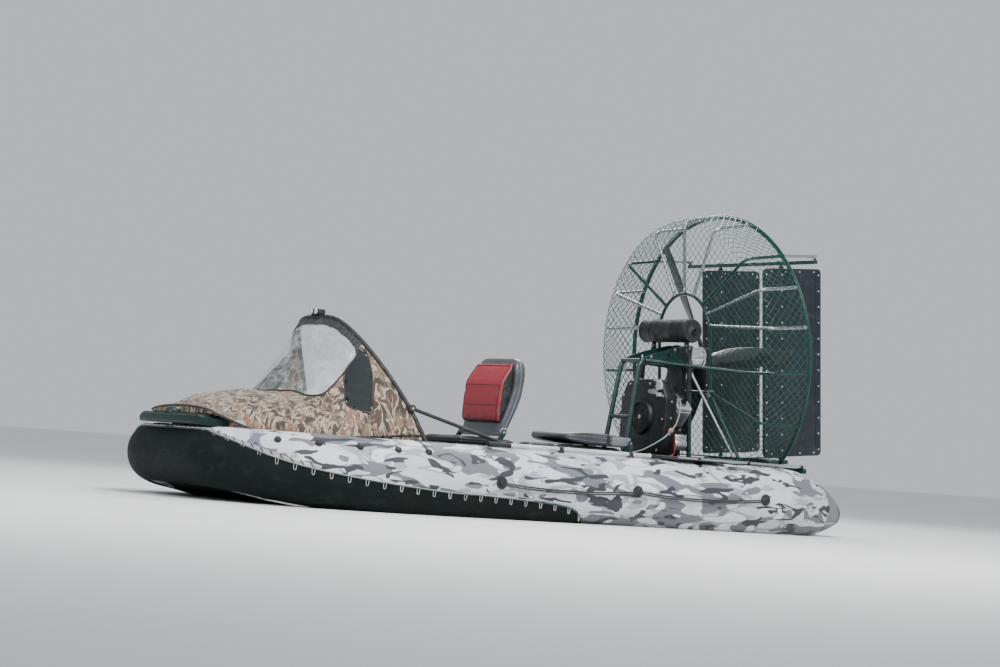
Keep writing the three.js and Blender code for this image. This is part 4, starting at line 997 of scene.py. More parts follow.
TENT_COLUMNS = 96
BUTTON_ANGLE = math.radians(47)
BUTTON_ROWS = [0, 6, 12, 18, 24, 30, 36, 42, 48]
BUTTON_SHARES = [0.0, 0.07, 0.14, 0.22, 0.31, 0.43, 0.56, 0.68, 1.0]
# Outlines on the tent's port half, as row and column: the window from its crown edge round to its middle in
# front, and the dark mesh panel behind it, whose near-black is partly painted shade of the tent's inside
WINDOW_HALF = [
    (2.8, 48), (2.8, 30), (3, 24), (5.5, 21.5), (10.25, 21.5), (15.25, 22), (19.25, 23.5), (22, 32),
    (23.2, 40), (24, 48),
]
WINDOW_OUTLINE = WINDOW_HALF + [(row, TENT_COLUMNS - column) for row, column in WINDOW_HALF[-2:0:-1]]
PORT_PANEL = [(3, 24), (1, 20.5), (4.25, 14.5), (8.5, 9.5), (11.25, 5.5), (14, 8), (16, 12.5), (13, 18),
              (10.25, 21.5),
              (5.5, 21.5)]
STARBOARD_PANEL = [(row, TENT_COLUMNS - column) for row, column in PORT_PANEL]


def within(row, column, outline):
    """Whether a place on the tent lies inside an outline."""
    inside = False
    for (r, c), (s, d) in zip(outline, outline[1:] + outline[:1]):
        if (c > column) != (d > column) and row < r + (s - r) * (column - c) / (d - c):
            inside = not inside
    return inside


def in_window(row, column):
    return within(row + 0.5, column + 0.5, WINDOW_OUTLINE)


def in_panel(row, column):
    middle = row + 0.5, column + 0.5
    return within(*middle, PORT_PANEL) or within(*middle, STARBOARD_PANEL)


def drawn_to_seams(row, column):
    """The grid's places near a seam are moved onto it, so the seams run smoothly."""
    place, best = np.array((row, column), float), 0.52
    moved = place
    for outline in (WINDOW_OUTLINE, PORT_PANEL, STARBOARD_PANEL):
        for start, end in zip(outline, outline[1:] + outline[:1]):
            start, way = np.array(start, float), np.subtract(end, start)
            share = min(max((place - start) @ way / (way @ way), 0.0), 1.0)
            gap = np.abs(start + way * share - place).max()
            if gap < best:
                best, moved = gap, start + way * share
    return moved


def drape_at(row, column):
    """The cloth's slack waves, and the scallops where the hem is drawn down to its buttons."""
    slack = math.sin(math.pi * row / (len(TENT_TABLE) - 1)) * math.sin(math.pi * column / TENT_COLUMNS)
    wave = 0.006 * math.sin(row * 0.55 + column * 0.21) + 0.004 * math.sin(column * 0.6 - row * 0.3)
    edge = math.exp(-((min(column, TENT_COLUMNS - column)) / 2.5) ** 2)
    return np.array((0, 0, slack * wave * 0.8 + 0.006 * edge * math.sin(row * 0.9)))


def tent_grid():
    """The whole tent with its drape, row by row."""
    grid = []
    for row in range(len(TENT_TABLE)):
        line = []
        for column in range(TENT_COLUMNS + 1):
            place = drawn_to_seams(row, column)
            angle = math.pi * place[1] / TENT_COLUMNS
            line.append(tent_point(place[0], angle) + drape_at(*place))
        grid.append(line)
    return np.array(grid)


def make_tent():
    piece = Piece("tent_cloth", "tent_fabric", replaces=["tent_cover"])
    grid = tent_grid()
    piece.add(skin(grid, -0.0015, lambda r, c: not in_window(r, c) and not in_panel(r, c)), reed_cloth)
    # The side panels: near-black that is partly painted shade of the tent's dark inside
    piece.add(skin(grid, -0.0015, in_panel), dark_mesh_and_painted_shade)
    # The front edge turned down onto the bow band
    edge = [point for point in grid[-1] if point[2] > BAND_TOP + 0.004]
    turned = [edge, [point + (0.004, 0, (BAND_TOP + 0.002 - point[2]) * 0.5) for point in edge],
              [np.array((point[0] + 0.003, point[1], BAND_TOP + 0.002)) for point in edge]]
    piece.add(skin(turned, -0.0015), reed_cloth)
    made = piece.build(sharp=60)
    area = sheet_area(grid, lambda r, c: not in_window(r, c))
    return made


def sheet_area(grid, kept=lambda r, c: True):
    """The area of a grid's kept cells, in square metres."""
    total = 0.0
    for r in range(len(grid) - 1):
        for c in range(len(grid[0]) - 1):
            if kept(r, c):
                a, b, d, e = grid[r][c], grid[r][c + 1], grid[r + 1][c + 1], grid[r + 1][c]
                total += 0.5 * np.linalg.norm(np.cross(d - a, e - b))
    return float(total)


def make_window():
    """The milky film let into the tent; its dark binding is made with the tent's trim."""
    piece = Piece("tent_film", "clear_film", replaces=["tent_window"])
    grid = tent_grid()
    piece.add(skin(grid, -0.001, in_window), window_film)
    made = piece.build(sharp=60)
    area = sheet_area(grid, in_window)
    return made


SLEEVE_STEPS = 240
SLEEVE_COLUMNS = range(58, 183)


def make_tent_trim():
    """Bindings, hem cord, the hoop's gathered sleeve, bungees and their buttons."""
    piece = Piece("tent_trim", "black_fabric")
    for outline, thick in ((WINDOW_OUTLINE, 0.0055), (PORT_PANEL, 0.0035), (STARBOARD_PANEL, 0.0035)):
        seam = smooth_path([(row, column, 0) for row, column in outline], 8, loop=True)
        edge = [tent_point(row, math.pi * column / TENT_COLUMNS, 0.002) + drape_at(row, column)
                for row, column, _ in seam]
        piece.add(sweep(edge, thick, 8, loop=True), strap_black)
    # Hem cord up one foot, round the bow and back
    last = len(TENT_TABLE) - 1
    foot = [tent_point(row, 0.012, 0.004) for row in range(last + 1)]
    front = [tent_point(last, angle, 0.004) for angle in np.linspace(0.05, math.pi - 0.05, 40)]
    hem = foot + front + [point * (1, -1, 1) for point in foot[::-1]]
    piece.add(sweep(hem, 0.006, 8), strap_black)
    # Gathered sleeve over the hoop
    rows = []
    for k, row in enumerate(np.linspace(-0.9, 3.4, 9)):
        line = []
        for column in SLEEVE_COLUMNS:
            angle = math.pi * column / SLEEVE_STEPS
            gather = 0.0035 * math.sin(column * 1.35 + 0.3 * k) + 0.002 * math.sin(column * 0.57 - k)
            edge = 1 if 0 < k < 8 else 0.3
            wander = 0.35 * math.sin(column * 0.33) * (k / 8)
            if row < 0:
                point = tent_point(0, angle, 0.006 + gather * edge)
                point[0] += row * 0.02
            else:
                point = tent_point(row + wander, angle, 0.0065 + gather * edge)
            line.append(point)
        rows.append(line)
    piece.add(skin(rows, -0.002), strap_black)
    # Bungees in V pairs from the hem to buttons on the tubes
    for side in (1, -1):
        for row in (5, 13.5, 22.5, 30, 37):
            share = float(np.interp(row, BUTTON_ROWS, BUTTON_SHARES))
            station = tube_station(share)
            seat, above = (on_section(station, BUTTON_ANGLE, stand) for stand in (0, 0.1))
            button, out = seat * (1, side, 1), unit((above - seat) * (1, side, 1))
            piece.add(lathe([(-0.003, 0.02), (0.006, 0.019), (0.014, 0.013), (0.017, 0.004)], button, out,
                            18), soft_black)
            for shift in (-1.3, 1.3):
                top = tent_point(row + shift, 0.02, 0.006) * (1, side, 1)
                piece.add(sweep([top, (top + button) / 2 + out * 0.012, button + out * 0.012], 0.0032, 6),
                          rope_black)
    return piece.build(sharp=60)


HOOP_PIPE = 0.013
HOOP_STEPS = 48
HOOP_FOOT = 0.44


def hoop_points():
    """The hoop just aft of the tent's aft edge, from the port tube over to the starboard one."""
    points = []
    for column in range(HOOP_STEPS + 1):
        angle = math.pi * column / HOOP_STEPS
        edge, next_edge = tent_point(0, angle), tent_point(6, angle)
        points.append(edge + unit(edge - next_edge) * (HOOP_PIPE + 0.0007))
    points[0][2] = points[-1][2] = HOOP_FOOT
    return np.array(points)


def make_hoop():
    piece = Piece("hoop_pipe", "black", replaces=["tent_hoop"])
    points = hoop_points()
    piece.add(sweep(points, HOOP_PIPE, 14), soft_black)
    top = points[HOOP_STEPS // 2]
    x, z = top[0], top[2] + HOOP_PIPE
    piece.add(block((x - 0.018, -0.051, z - 0.001), (x + 0.03, 0.051, z + 0.031), 0.006), soft_black)
    for y in (-0.026, 0.026):
        piece.add(lathe([(0, 0.0145), (0.005, 0.0145), (0.0075, 0.011), (0.0078, 0.004)],
                        (x + 0.029, y, z + 0.015), (1, 0, 0), 20), lens_clear)
    for y in (-0.045, 0.045):
        piece.add(sweep([(x, y, z - 0.02), (x + 0.012, y, z - 0.012), (x + 0.015, y, z + 0.004)], 0.0035, 6),
                  soft_black)
    return piece.build()


def make_tent_brace(side, sign):
    """The dark strut from the hoop down to the tube, with a round fitting at its top."""
    piece = Piece(f"{side}_brace_strut", "black", replaces=[f"{side}_tent_brace"])
    seat = next(point for point in hoop_points()[::2] if point[2] > 0.575)
    y = abs(seat[1]) + 0.0242
    path = round_path([
        (seat[0] + 0.008, sign * y, seat[2] + 0.003), (seat[0] - 0.012, sign * y, seat[2] - 0.003),
        (0.46, sign * 0.7418, TUBE_TOP + 0.0145), (0.44, sign * 0.742, TUBE_TOP + 0.0125),
    ], 0.008, 3)
    piece.add(sweep(path, 0.0105, 12), soft_black)
    piece.add(lathe([(-0.012, 0.018), (-0.008, 0.021), (0.008, 0.021), (0.0115, 0.016)],
                    (seat[0] - 0.002, sign * y, seat[2]), (0, sign, 0), 20), soft_black)
    piece.add(bolt((seat[0] - 0.002, sign * (y + 0.0115), seat[2]), (0, sign, 0), 0.006, 0.004), bolt_steel)
    piece.add(block((0.43, sign * 0.742 - 0.02, TUBE_TOP + 0.0005),
                    (0.475, sign * 0.742 + 0.02, TUBE_TOP + 0.008), 0.003),
              soft_black)
    return piece.build()


# Seats
BACK_PIVOT = (0.138, 0.0, 0.531)
REAR_PIVOT = (-0.786, 0.0, 0.524)
SEAT_HALF = 0.215


def plain_mesh(made):
    return bpy.data.meshes.new_from_object(made.evaluated_get(bpy.context.evaluated_depsgraph_get()))


def vertex_places(mesh):
    places = np.empty(len(mesh.vertices) * 3, np.float32)
    mesh.vertices.foreach_get("co", places)
    return places.reshape(-1, 3)


def stuff(made, cap, base_axis, base, voxel=0.006):
    """Blows a cushion up with cloth pressure; no point goes past the cap or behind its base plane."""
    even = made.modifiers.new("even", "REMESH")
    even.mode, even.voxel_size, even.use_smooth_shade = "VOXEL", voxel, True
    mesh = plain_mesh(made)
    made.modifiers.clear()
    made.data = mesh
    cloth = made.modifiers.new("filling", "CLOTH")
    cloth.settings.use_pressure = True
    cloth.settings.uniform_pressure_force = 4.0
    cloth.settings.effector_weights.gravity = 0
    cloth.point_cache.frame_start, cloth.point_cache.frame_end = 1, 20
    for step in range(1, 21):
        bpy.context.scene.frame_set(step)
    rest, blown = vertex_places(mesh), vertex_places(plain_mesh(made))
    bpy.context.scene.frame_set(1)
    made.modifiers.clear()
    shift = blown - rest
    length = np.linalg.norm(shift, axis=1)[:, None] + 1e-9
    settled = rest + shift * np.minimum(1, cap * np.tanh(length / cap) / length)
    settled[:, base_axis] = np.maximum(settled[:, base_axis], base)
    mesh.vertices.foreach_set("co", settled.ravel())
    mesh.update()
    made.modifiers.new("smooth", "SUBSURF").levels = 1
    made.modifiers["smooth"].render_levels = 1
    return made


def sewn_on(made, loop, radius=0.0032, closed=True):
    """A cord whose path lies on a cushion."""
    mesh = made.data
    tree = BVHTree.FromPolygons([v.co for v in mesh.vertices], [tuple(p.vertices) for p in mesh.polygons])
    path = []
    for place in loop:
        near, normal, _, _ = tree.find_nearest(Vector(place))
        path.append(near + normal * radius * 0.3)
    return sweep(path, radius, 8, loop=closed)


def even_loop(corners, bend, pitch=0.012):
    """A closed loop with rounded corners and evenly spaced points."""
    path = round_path(corners, bend, 6, loop=True)
    path = np.vstack([path, path[0]])
    gone = gone_along(path)
    places = np.linspace(0, gone[-1], int(gone[-1] / pitch), endpoint=False)
    return np.array([point_at(path, gone, place) for place in places])


def make_cushion(name, node, x0, x1, top):
    """A flat black cushion with a welt round its top edge."""
    half, low = SEAT_HALF - 0.006, FRAME_TOP + 0.002
    piece = Piece(name, "black", replaces=[node])
    piece.add(block((x0 + 0.006, -half, low), (x1 - 0.006, half, top - 0.008), 0.014, 3), black_vinyl)
    made = stuff(piece.build(), 0.01, 2, low)
    trim = Piece(f"{name}_welt", "black")
    for z in (top - 0.012, low + 0.01):
        corners = [(x0 + 0.002, -half - 0.004, z), (x1 - 0.002, -half - 0.004, z),
                   (x1 - 0.002, half + 0.004, z), (x0 + 0.002, half + 0.004, z)]
        trim.add(sewn_on(made, even_loop(corners, 0.03)), black_vinyl)
    for share in (0.34, 0.67):
        x = x0 + (x1 - x0) * share
        seam = [(x, y, top + 0.02) for y in np.linspace(-half + 0.02, half - 0.02, 30)]
        trim.add(sewn_on(made, seam, 0.0016, closed=False), soft_black)
    trim.build()


def stack(sections, corner_steps=5):
    """A form of level rounded oblongs, each as height, two x, half width and corner."""
    loops = []
    for z, x0, x1, half, corner in sections:
        outline = round_outline([(x0, -half), (x1, -half), (x1, half), (x0, half)], corner, corner_steps)
        loops.append([(x, y, z) for x, y in outline])
    return loft(loops)


def make_driver_back():
    """The back: a moulded grey shell that leans aft as it rises, and a deep pad of red and black."""
    shell = Piece("driver_shell", "grey_shell", body="driver_seat_back", replaces=["driver_seat_back"])
    turn = Matrix.Translation(BACK_PIVOT)
    table = smooth_path([
        # height, back x, front x, half width
        (-0.023, -0.022, 0.009, 0.206), (0.004, -0.034, 0.006, 0.213), (0.060, -0.058, -0.001, 0.215),
        (0.120, -0.087, -0.024, 0.215), (0.165, -0.105, -0.041, 0.215), (0.210, -0.121, -0.0535, 0.215),
        (0.255, -0.129, -0.0668, 0.215), (0.304, -0.1365, -0.069, 0.2145), (0.350, -0.141, -0.0708, 0.212),
        (0.387, -0.1415, -0.0715, 0.205), (0.415, -0.137, -0.080, 0.192), (0.433, -0.125, -0.086, 0.170),
        (0.440, -0.113, -0.093, 0.140),
    ], 2)
    shell.add(placed(stack([(z, back, front, half, min(0.02, 0.45 * (front - back)))
                            for z, back, front, half in table]), turn), shell_grey)
    for side in (1, -1):
        rim = [(back * 0.5 + front * 0.5, side * (half + 0.0008), z) for z, back, front, half in table[3:-3]]
        shell.add(placed(sweep(rim, 0.003, 6), turn), shell_pale)
        shell.add(placed(lathe([(0, 0.024), (0.006, 0.024), (0.008, 0.019)], (-0.004, side * 0.2145, 0.006),
                               (0, side, 0),
                               20), turn), shell_pale)
        for x, z in ((0, 0), (-0.019, 0.021)):
            shell.add(placed(bolt((x, side * (0.2365 if x == 0 else 0.2225), z), (0, side, 0), 0.0065, 0.003),
                             turn),
                      bolt_steel)
    shell.add(placed(rod((0, -PIN_REACH + 0.001, 0), (0, PIN_REACH - 0.001, 0), 0.0065, 14), turn),
              bolt_steel)
    for z, x in ((0.19, -0.1165), (0.255, -0.1295), (0.32, -0.1385)):
        rib = [(x, y, z) for y in np.linspace(-0.16, 0.16, 9)]
        shell.add(placed(sweep(rib, 0.003, 6), turn), shell_grey)
    shell.build(sharp=50)

    pad = Piece("driver_pad", "red_vinyl", body="driver_seat_back", replaces=["driver_seat_pad"])
    layers = smooth_path([
        # height, back x, front x, half width
        (0.056, 0.004, 0.019, 0.182), (0.064, 0.0015, 0.023, 0.194), (0.100, -0.014, 0.025, 0.2),
        (0.150, -0.034, 0.0245, 0.2), (0.200, -0.050, 0.022, 0.2), (0.250, -0.0645, 0.017, 0.2),
        (0.290, -0.0675, 0.011, 0.2), (0.330, -0.0685, -0.0085, 0.2), (0.369, -0.070, -0.032, 0.198),
        (0.395, -0.0705, -0.050, 0.19), (0.412, -0.0745, -0.062, 0.176),
    ], 2)
    pad.add(placed(stack([(z, back, front, half, min(0.016, 0.45 * (front - back)))
                          for z, back, front, half in layers]), turn), red_vinyl)
    made = stuff(pad.build(), 0.007, 0, BACK_PIVOT[0] - 0.0745)
    made.data.materials.append(black_vinyl.material)
    heights, fronts = layers[:, 0] + BACK_PIVOT[2], layers[:, 2] + BACK_PIVOT[0]
    for face in made.data.polygons:
        x, y, z = face.center
        on_front = x > np.interp(z, heights, fronts) - 0.012 and abs(y) < 0.196
        if not on_front or z < heights[2]:
            face.material_index = 1
    trim = Piece("driver_pad_seams", "red_vinyl", body="driver_seat_back")
    front_at = lambda z: float(np.interp(z, heights, fronts)) + 0.02
    corners = [(front_at(z), y, z) for z in np.linspace(heights[2], heights[-1] - 0.006, 9) for y in (0.19,)]
    corners += [(x, -y, z) for x, y, z in corners[::-1]]
    trim.add(sewn_on(made, even_loop(corners, 0.02), 0.0028), black_vinyl)
    for z in (0.69, 0.81):
        trim.add(sewn_on(made, [(front_at(z), y, z) for y in np.linspace(-0.17, 0.17, 26)], 0.0016, False),
                 black_vinyl)
    trim.build()


def make_rear_back():
    """The folded back: a thick moulded shell with paler edges, a strap, and hinge blocks at its aft end."""
    piece = Piece("rear_shell", "grey_shell", body="rear_seat_back", replaces=["rear_seat_back"])
    turn = Matrix.Translation(REAR_PIVOT)
    table = smooth_path([
        # x, underside, top, half width
        (-0.010, -0.016, 0.016, 0.196), (0.004, -0.0245, 0.030, 0.205), (0.060, -0.0255, 0.0395, 0.2105),
        (0.140, -0.0255, 0.0445, 0.2115), (0.220, -0.0250, 0.0485, 0.2115), (0.300, -0.0235, 0.0495, 0.2115),
        (0.360, -0.0180, 0.0470, 0.2095), (0.410, -0.0110, 0.0420, 0.203), (0.440, -0.0020, 0.0340, 0.188),
        (0.453, 0.0070, 0.0250, 0.165),
    ], 3)
    loops = []
    for x, low, high, half in table:
        bend = min(0.016, 0.42 * (high - low))
        outline = round_outline([(-half, low), (half, low), (half, high), (-half, high)], bend, 5)
        loops.append([(x, y, z) for y, z in outline])
    piece.add(placed(loft(loops), turn), shell_grey)
    for side in (1, -1):
        for share in (0.28, 0.62):
            edge = [(x, side * (half + 0.0006), low + (high - low) * share)
                    for x, low, high, half in table[6:-4]]
            piece.add(placed(sweep(edge, 0.0022, 6), turn), shell_pale)
    strap = [(0.155, -0.2125, -0.0255), (0.155, -0.2125, 0.036), (0.155, -0.2, 0.0462), (0.155, 0.2, 0.0462),
             (0.155, 0.2125, 0.036), (0.155, 0.2125, -0.0255)]
    band = sweep(round_path(strap, 0.01, 4), 0.0132, 10, flat=0.16, upright=(1, 0, 0))
    piece.add(placed(band, turn), strap_black)
    for side in (1, -1):
        piece.add(placed(block((-0.018, side * 0.2005 - 0.013, -0.0245),
                               (0.128, side * 0.2005 + 0.013, 0.0355), 0.009),
                         turn), shell_pale)
        for x, z in ((0.0, 0.0), (0.018, -0.012)):
            piece.add(placed(bolt((x, side * (0.2365 if x == 0 else 0.2135), z), (0, side, 0), 0.005, 0.003),
                             turn),
                      bolt_steel)
    piece.add(placed(rod((0, -0.211, 0), (0, 0.211, 0), 0.0135, 20), turn), shell_grey)
    piece.add(placed(rod((0, -PIN_REACH + 0.001, 0), (0, PIN_REACH - 0.001, 0), 0.0065, 14), turn),
              bolt_steel)
    piece.build(sharp=50)


# Engine
ENGINE_AFT = -1.252
ENGINE_FORE = -1.125
MAST_FORE_X = -0.918
MAST_AFT_X = -1.3


def make_engine_frame():
    """Two narrow side frames of bent pipe, tied across, on foot plates."""
    piece = Piece("engine_masts", "green_paint", replaces=["engine_frame"])
    for side in (1, -1):
        y = MAST_Y * side
        path = round_path([(-0.835, y * 1.2, 0.455), (MAST_FORE_X, y, 1.045), (MAST_AFT_X, y, 1.032),
                           (-1.332, y * 1.2, 0.455)], 0.05, 6)
        piece.add(sweep(path, 0.015, 16), frame_green)
        for x, z in ((-0.866, 0.69), (-1.328, 0.52)):
            piece.add(lathe([(0, 0.0152), (0.012, 0.0148), (0.014, 0.013)], (x, side * 0.101, z),
                            (0, -side, 0), 18),
                      frame_green)
        for x, feet in ((-0.835, (-0.853, -0.817)), (-1.332, (-1.347, -1.317))):
            piece.add(lathe([(0, 0.026), (0.006, 0.022), (0.012, 0.0165)], (x, y * 1.2, 0.458), (0, 0, 1),
                            20),
                      frame_green)
            piece.add(bolts([(foot, side * reach, 0.4585) for foot in feet for reach in (0.088, 0.122)],
                            (0, 0, 1),
                            0.005), bolt_steel)
    for x, z, half in ((MAST_FORE_X, MAST_TOP, MAST_Y), (-0.866, 0.69, 0.104), (-1.328, 0.52, 0.106)):
        piece.add(rod((x, -half, z), (x, half, z), 0.012, 14), frame_green)
    for x0, x1 in ((-0.86, -0.81), (-1.354, -1.31)):
        piece.add(block((x0, -0.13, FRAME_TOP + 0.0005), (x1, 0.13, FRAME_TOP + 0.008), 0.002), frame_green)
    piece.build()


def make_shaft_carrier():
    """Slanted gusset plates with three growing holes, and the plate behind them."""
    piece = Piece("shaft_gussets", "green_paint", replaces=["shaft_carrier"])
    outline = [(-0.938, 1.0595), (-1.09, 1.112), (-1.268, 1.16), (-1.314, 1.16), (-1.314, 1.0471)]
    holes = [circle_outline(x, z, radius) for x, z, radius in
             ((-1.07, 1.078, 0.01), (-1.14, 1.086, 0.014), (-1.225, 1.1, 0.02))]
    for side in (1, -1):
        piece.add(upright_plate(outline, side * 0.0915, 0.007, holes), frame_green, smooth=False)
        places = [(x, side * 0.095, z)
                  for x, z in ((-1.0, 1.068), (-1.18, 1.127), (-1.29, 1.145), (-1.295, 1.065))]
        piece.add(bolts(places, (0, side, 0), 0.006), bolt_steel)
    seat_z, reach = 1.0907, 0.066
    low = math.asin((seat_z - 1.052) / reach)
    arch = [(reach * math.cos(t), seat_z + reach * math.sin(t)) for t in np.linspace(math.pi + low, -low, 24)]
    piece.add(cross_plate([(-0.092, 1.052), *arch, (0.092, 1.052), (0.092, 1.16), (-0.092, 1.16)], -1.31,
                          0.008),
              frame_green, smooth=False)
    piece.build()


def make_bearing_housing():
    piece = Piece("bearing_sleeve", "aluminium", replaces=["bearing_housing"])
    profile = [
        (0.142, 0.0215), (0.142, 0.062), (0.144, 0.064), (0.156, 0.064), (0.158, 0.062), (0.161, 0.056),
        (0.178, 0.055), (0.179, 0.053), (0.184, 0.053), (0.185, 0.055), (0.226, 0.055), (0.227, 0.053),
        (0.232, 0.053), (0.233, 0.055), (0.251, 0.056), (0.254, 0.062), (0.256, 0.064), (0.284, 0.064),
        (0.286, 0.062), (0.286, 0.0215),
    ]
    piece.add(on_thrust(lathe(profile, (0, 0, 0), (1, 0, 0), 48)), bright_alloy)
    for x, way in ((0.286, 1), (0.142, -1)):
        places = [(x, 0.044 * math.cos(a), 0.044 * math.sin(a)) for a in np.arange(6) * math.pi / 3]
        piece.add(on_thrust(bolts(places, (way, 0, 0), 0.005, 0.004)), bolt_steel)
    piece.add(on_thrust(lathe([(0, 0.006), (0.012, 0.005), (0.014, 0.003)], (0.205, 0, 0.053), (0, 0, 1),
                              10)), brass)
    piece.build()


def make_belt_case():
    """The belt's long cover between the crankshaft and the propeller shaft."""
    piece = Piece("belt_cover", "slate_paint", replaces=["belt_case"])
    upper = [(0.072 * math.cos(t), 1.09 + 0.072 * math.sin(t)) for t in np.linspace(-0.3, math.pi + 0.3, 26)]
    lower = [(0.062 * math.cos(t), 0.62 + 0.062 * math.sin(t)) for t in np.linspace(math.pi, 2 * math.pi, 20)]
    outline = upper + lower
    piece.add(prism(outline, -1.304, ENGINE_AFT - 0.0005, 0.004, YZ), rudder_slate)
    piece.add(sweep([(-1.262, y * 1.012, z) for y, z in outline], 0.0035, 6, loop=True), soft_black)
    for z in (0.66, 0.78, 0.9, 1.0):
        for side in (1, -1):
            piece.add(bolt((-1.28, side * 0.0618, z), (0, side, 0), 0.005, 0.004), bolt_steel)
    piece.build()


def make_crankcase():
    piece = Piece("engine_block", "black_metal", replaces=["crankcase"])
    outline = round_outline([(-0.125, 0.4505), (0.125, 0.4505), (0.125, 0.64), (0.04, 0.725), (-0.04, 0.725),
                             (-0.125, 0.64)], 0.01, 3)
    piece.add(prism(outline, ENGINE_AFT, ENGINE_FORE, 0.005, YZ), engine_black)
    piece.add(prism(np.array(outline) * (1.014, 1), -1.178, -1.168, 0.002, YZ), cast_alloy)
    for z in np.linspace(0.49, 0.62, 5):
        for side in (1, -1):
            piece.add(block((-1.24, side * 0.1262 - 0.0015, z - 0.004),
                            (-1.135, side * 0.1262 + 0.0015, z + 0.004),
                            0.0015), engine_black)
    for x in (-1.235, -1.145):
        for z in (0.475, 0.56, 0.635):
            for side in (1, -1):
                piece.add(bolt((x, side * 0.125, z), (0, side, 0), 0.005, 0.005), bolt_steel)
    filter_can = [(0, 0.03), (0.008, 0.036), (0.02, 0.038), (0.066, 0.038), (0.076, 0.035), (0.082, 0.028),
                  (0.085, 0.01)]
    piece.add(lathe(filter_can, (-1.19, -0.12, 0.56), (0, -1, 0), 28), tank_red)
    piece.add(rod((-1.19, -0.12, 0.475), (-1.19, -0.15, 0.475), 0.012, 12), bolt_steel)
    piece.build(sharp=40)


def make_shroud():
    """The engine's front cover, with a round screen, bolts and a grey top plate."""
    piece = Piece("fan_shroud", "black_metal", replaces=["cooling_shroud"])
    outline = round_outline([(-0.2, 0.47), (0.2, 0.47), (0.228, 0.56), (0.228, 0.82), (0.17, 0.925),
                             (-0.17, 0.925),
                             (-0.228, 0.82), (-0.228, 0.56)], 0.022, 4)
    piece.add(prism(outline, ENGINE_FORE + 0.0003, -1.0307, 0.014, YZ), engine_black)
    lip = np.array(outline) * (0.985, 1)
    piece.add(sweep([(-1.0955, y * 1.018, z) for y, z in lip], 0.0028, 6, loop=True), engine_black)
    drum = [(0, 0.112), (0.006, 0.11), (0.018, 0.105), (0.022, 0.1), (0.0224, 0.086), (0.012, 0.084),
            (0.0115, 0.0)]
    piece.add(lathe(drum, (-1.031, 0, 0.7), (1, 0, 0), 56), engine_black)
    for radius in (0.024, 0.046, 0.066):
        ring = [(-1.0125, radius * math.cos(a), 0.7 + radius * math.sin(a))
                for a in np.arange(40) * math.pi / 20]
        piece.add(sweep(ring, 0.0022, 6, loop=True), soft_black)
    for turn in np.arange(12) * math.pi / 6:
        piece.add(rod((-1.0125, 0.012 * math.cos(turn), 0.7 + 0.012 * math.sin(turn)),
                      (-1.0125, 0.086 * math.cos(turn), 0.7 + 0.086 * math.sin(turn)), 0.0018, 6), soft_black)
    piece.add(lathe([(0, 0.014), (0.004, 0.013), (0.005, 0.008)], (-1.015, 0, 0.7), (1, 0, 0), 16),
              bolt_steel)
    for y, z in ((0.17, 0.5), (0.206, 0.69), (0.2, 0.83), (0.14, 0.9), (0.06, 0.905)):
        for side in (1, -1):
            piece.add(bolt((-1.031, side * y, z), (1, 0, 0), 0.0055, 0.004), bolt_steel)
    for y, z in ((0.228, 0.6), (0.228, 0.7), (0.228, 0.8)):
        for side in (1, -1):
            piece.add(bolt((-1.08, side * y, z), (0, side, 0), 0.005, 0.004), bolt_steel)
    # Stamped ribs across the cover's face
    for z in (0.53, 0.555, 0.86):
        for side in (1, -1):
            rib = [(-1.031, side * y, z) for y in np.linspace(0.05, 0.17, 6)]
            piece.add(sweep(rib, 0.004, 8), engine_black)
    piece.add(block((-1.118, -0.12, 0.9255), (-1.04, 0.12, 0.934), 0.003), hot_grey)
    # Throttle bracket on the face's upper port corner, with its lever, spring and cable clamp
    bracket = [(0.104, 0.93), (0.172, 0.93), (0.196, 0.902), (0.19, 0.872), (0.15, 0.864), (0.136, 0.884),
               (0.1, 0.898)]
    piece.add(prism(bracket, -1.0312, -1.018, 0.003, YZ), pale_alloy)
    lever = [(0.052, 0.866), (0.125, 0.876), (0.152, 0.862), (0.15, 0.842), (0.112, 0.838), (0.058, 0.848)]
    piece.add(prism(lever, -1.0306, -1.022, 0.003, YZ), cast_alloy)
    piece.add(lathe([(0, 0.017), (0.012, 0.016), (0.014, 0.011)], (-1.018, 0.122, 0.908), (1, 0, 0), 20),
              engine_black)
    piece.add(block((-1.03, 0.158, 0.826), (-1.006, 0.192, 0.85), 0.005), pale_alloy)
    piece.add(rod((-1.014, 0.112, 0.857), (-1.014, 0.172, 0.842), 0.0032, 8), bolt_steel)
    for y, z in ((0.16, 0.915), (0.176, 0.888), (0.07, 0.857), (0.138, 0.852)):
        piece.add(bolt((-1.0185, y, z), (1, 0, 0), 0.0045, 0.003), bolt_steel)
    piece.add(bolts([(-1.08, y, 0.934) for y in (-0.1, -0.035, 0.035, 0.1)], (0, 0, 1), 0.005), bolt_steel)
    piece.build(sharp=40)


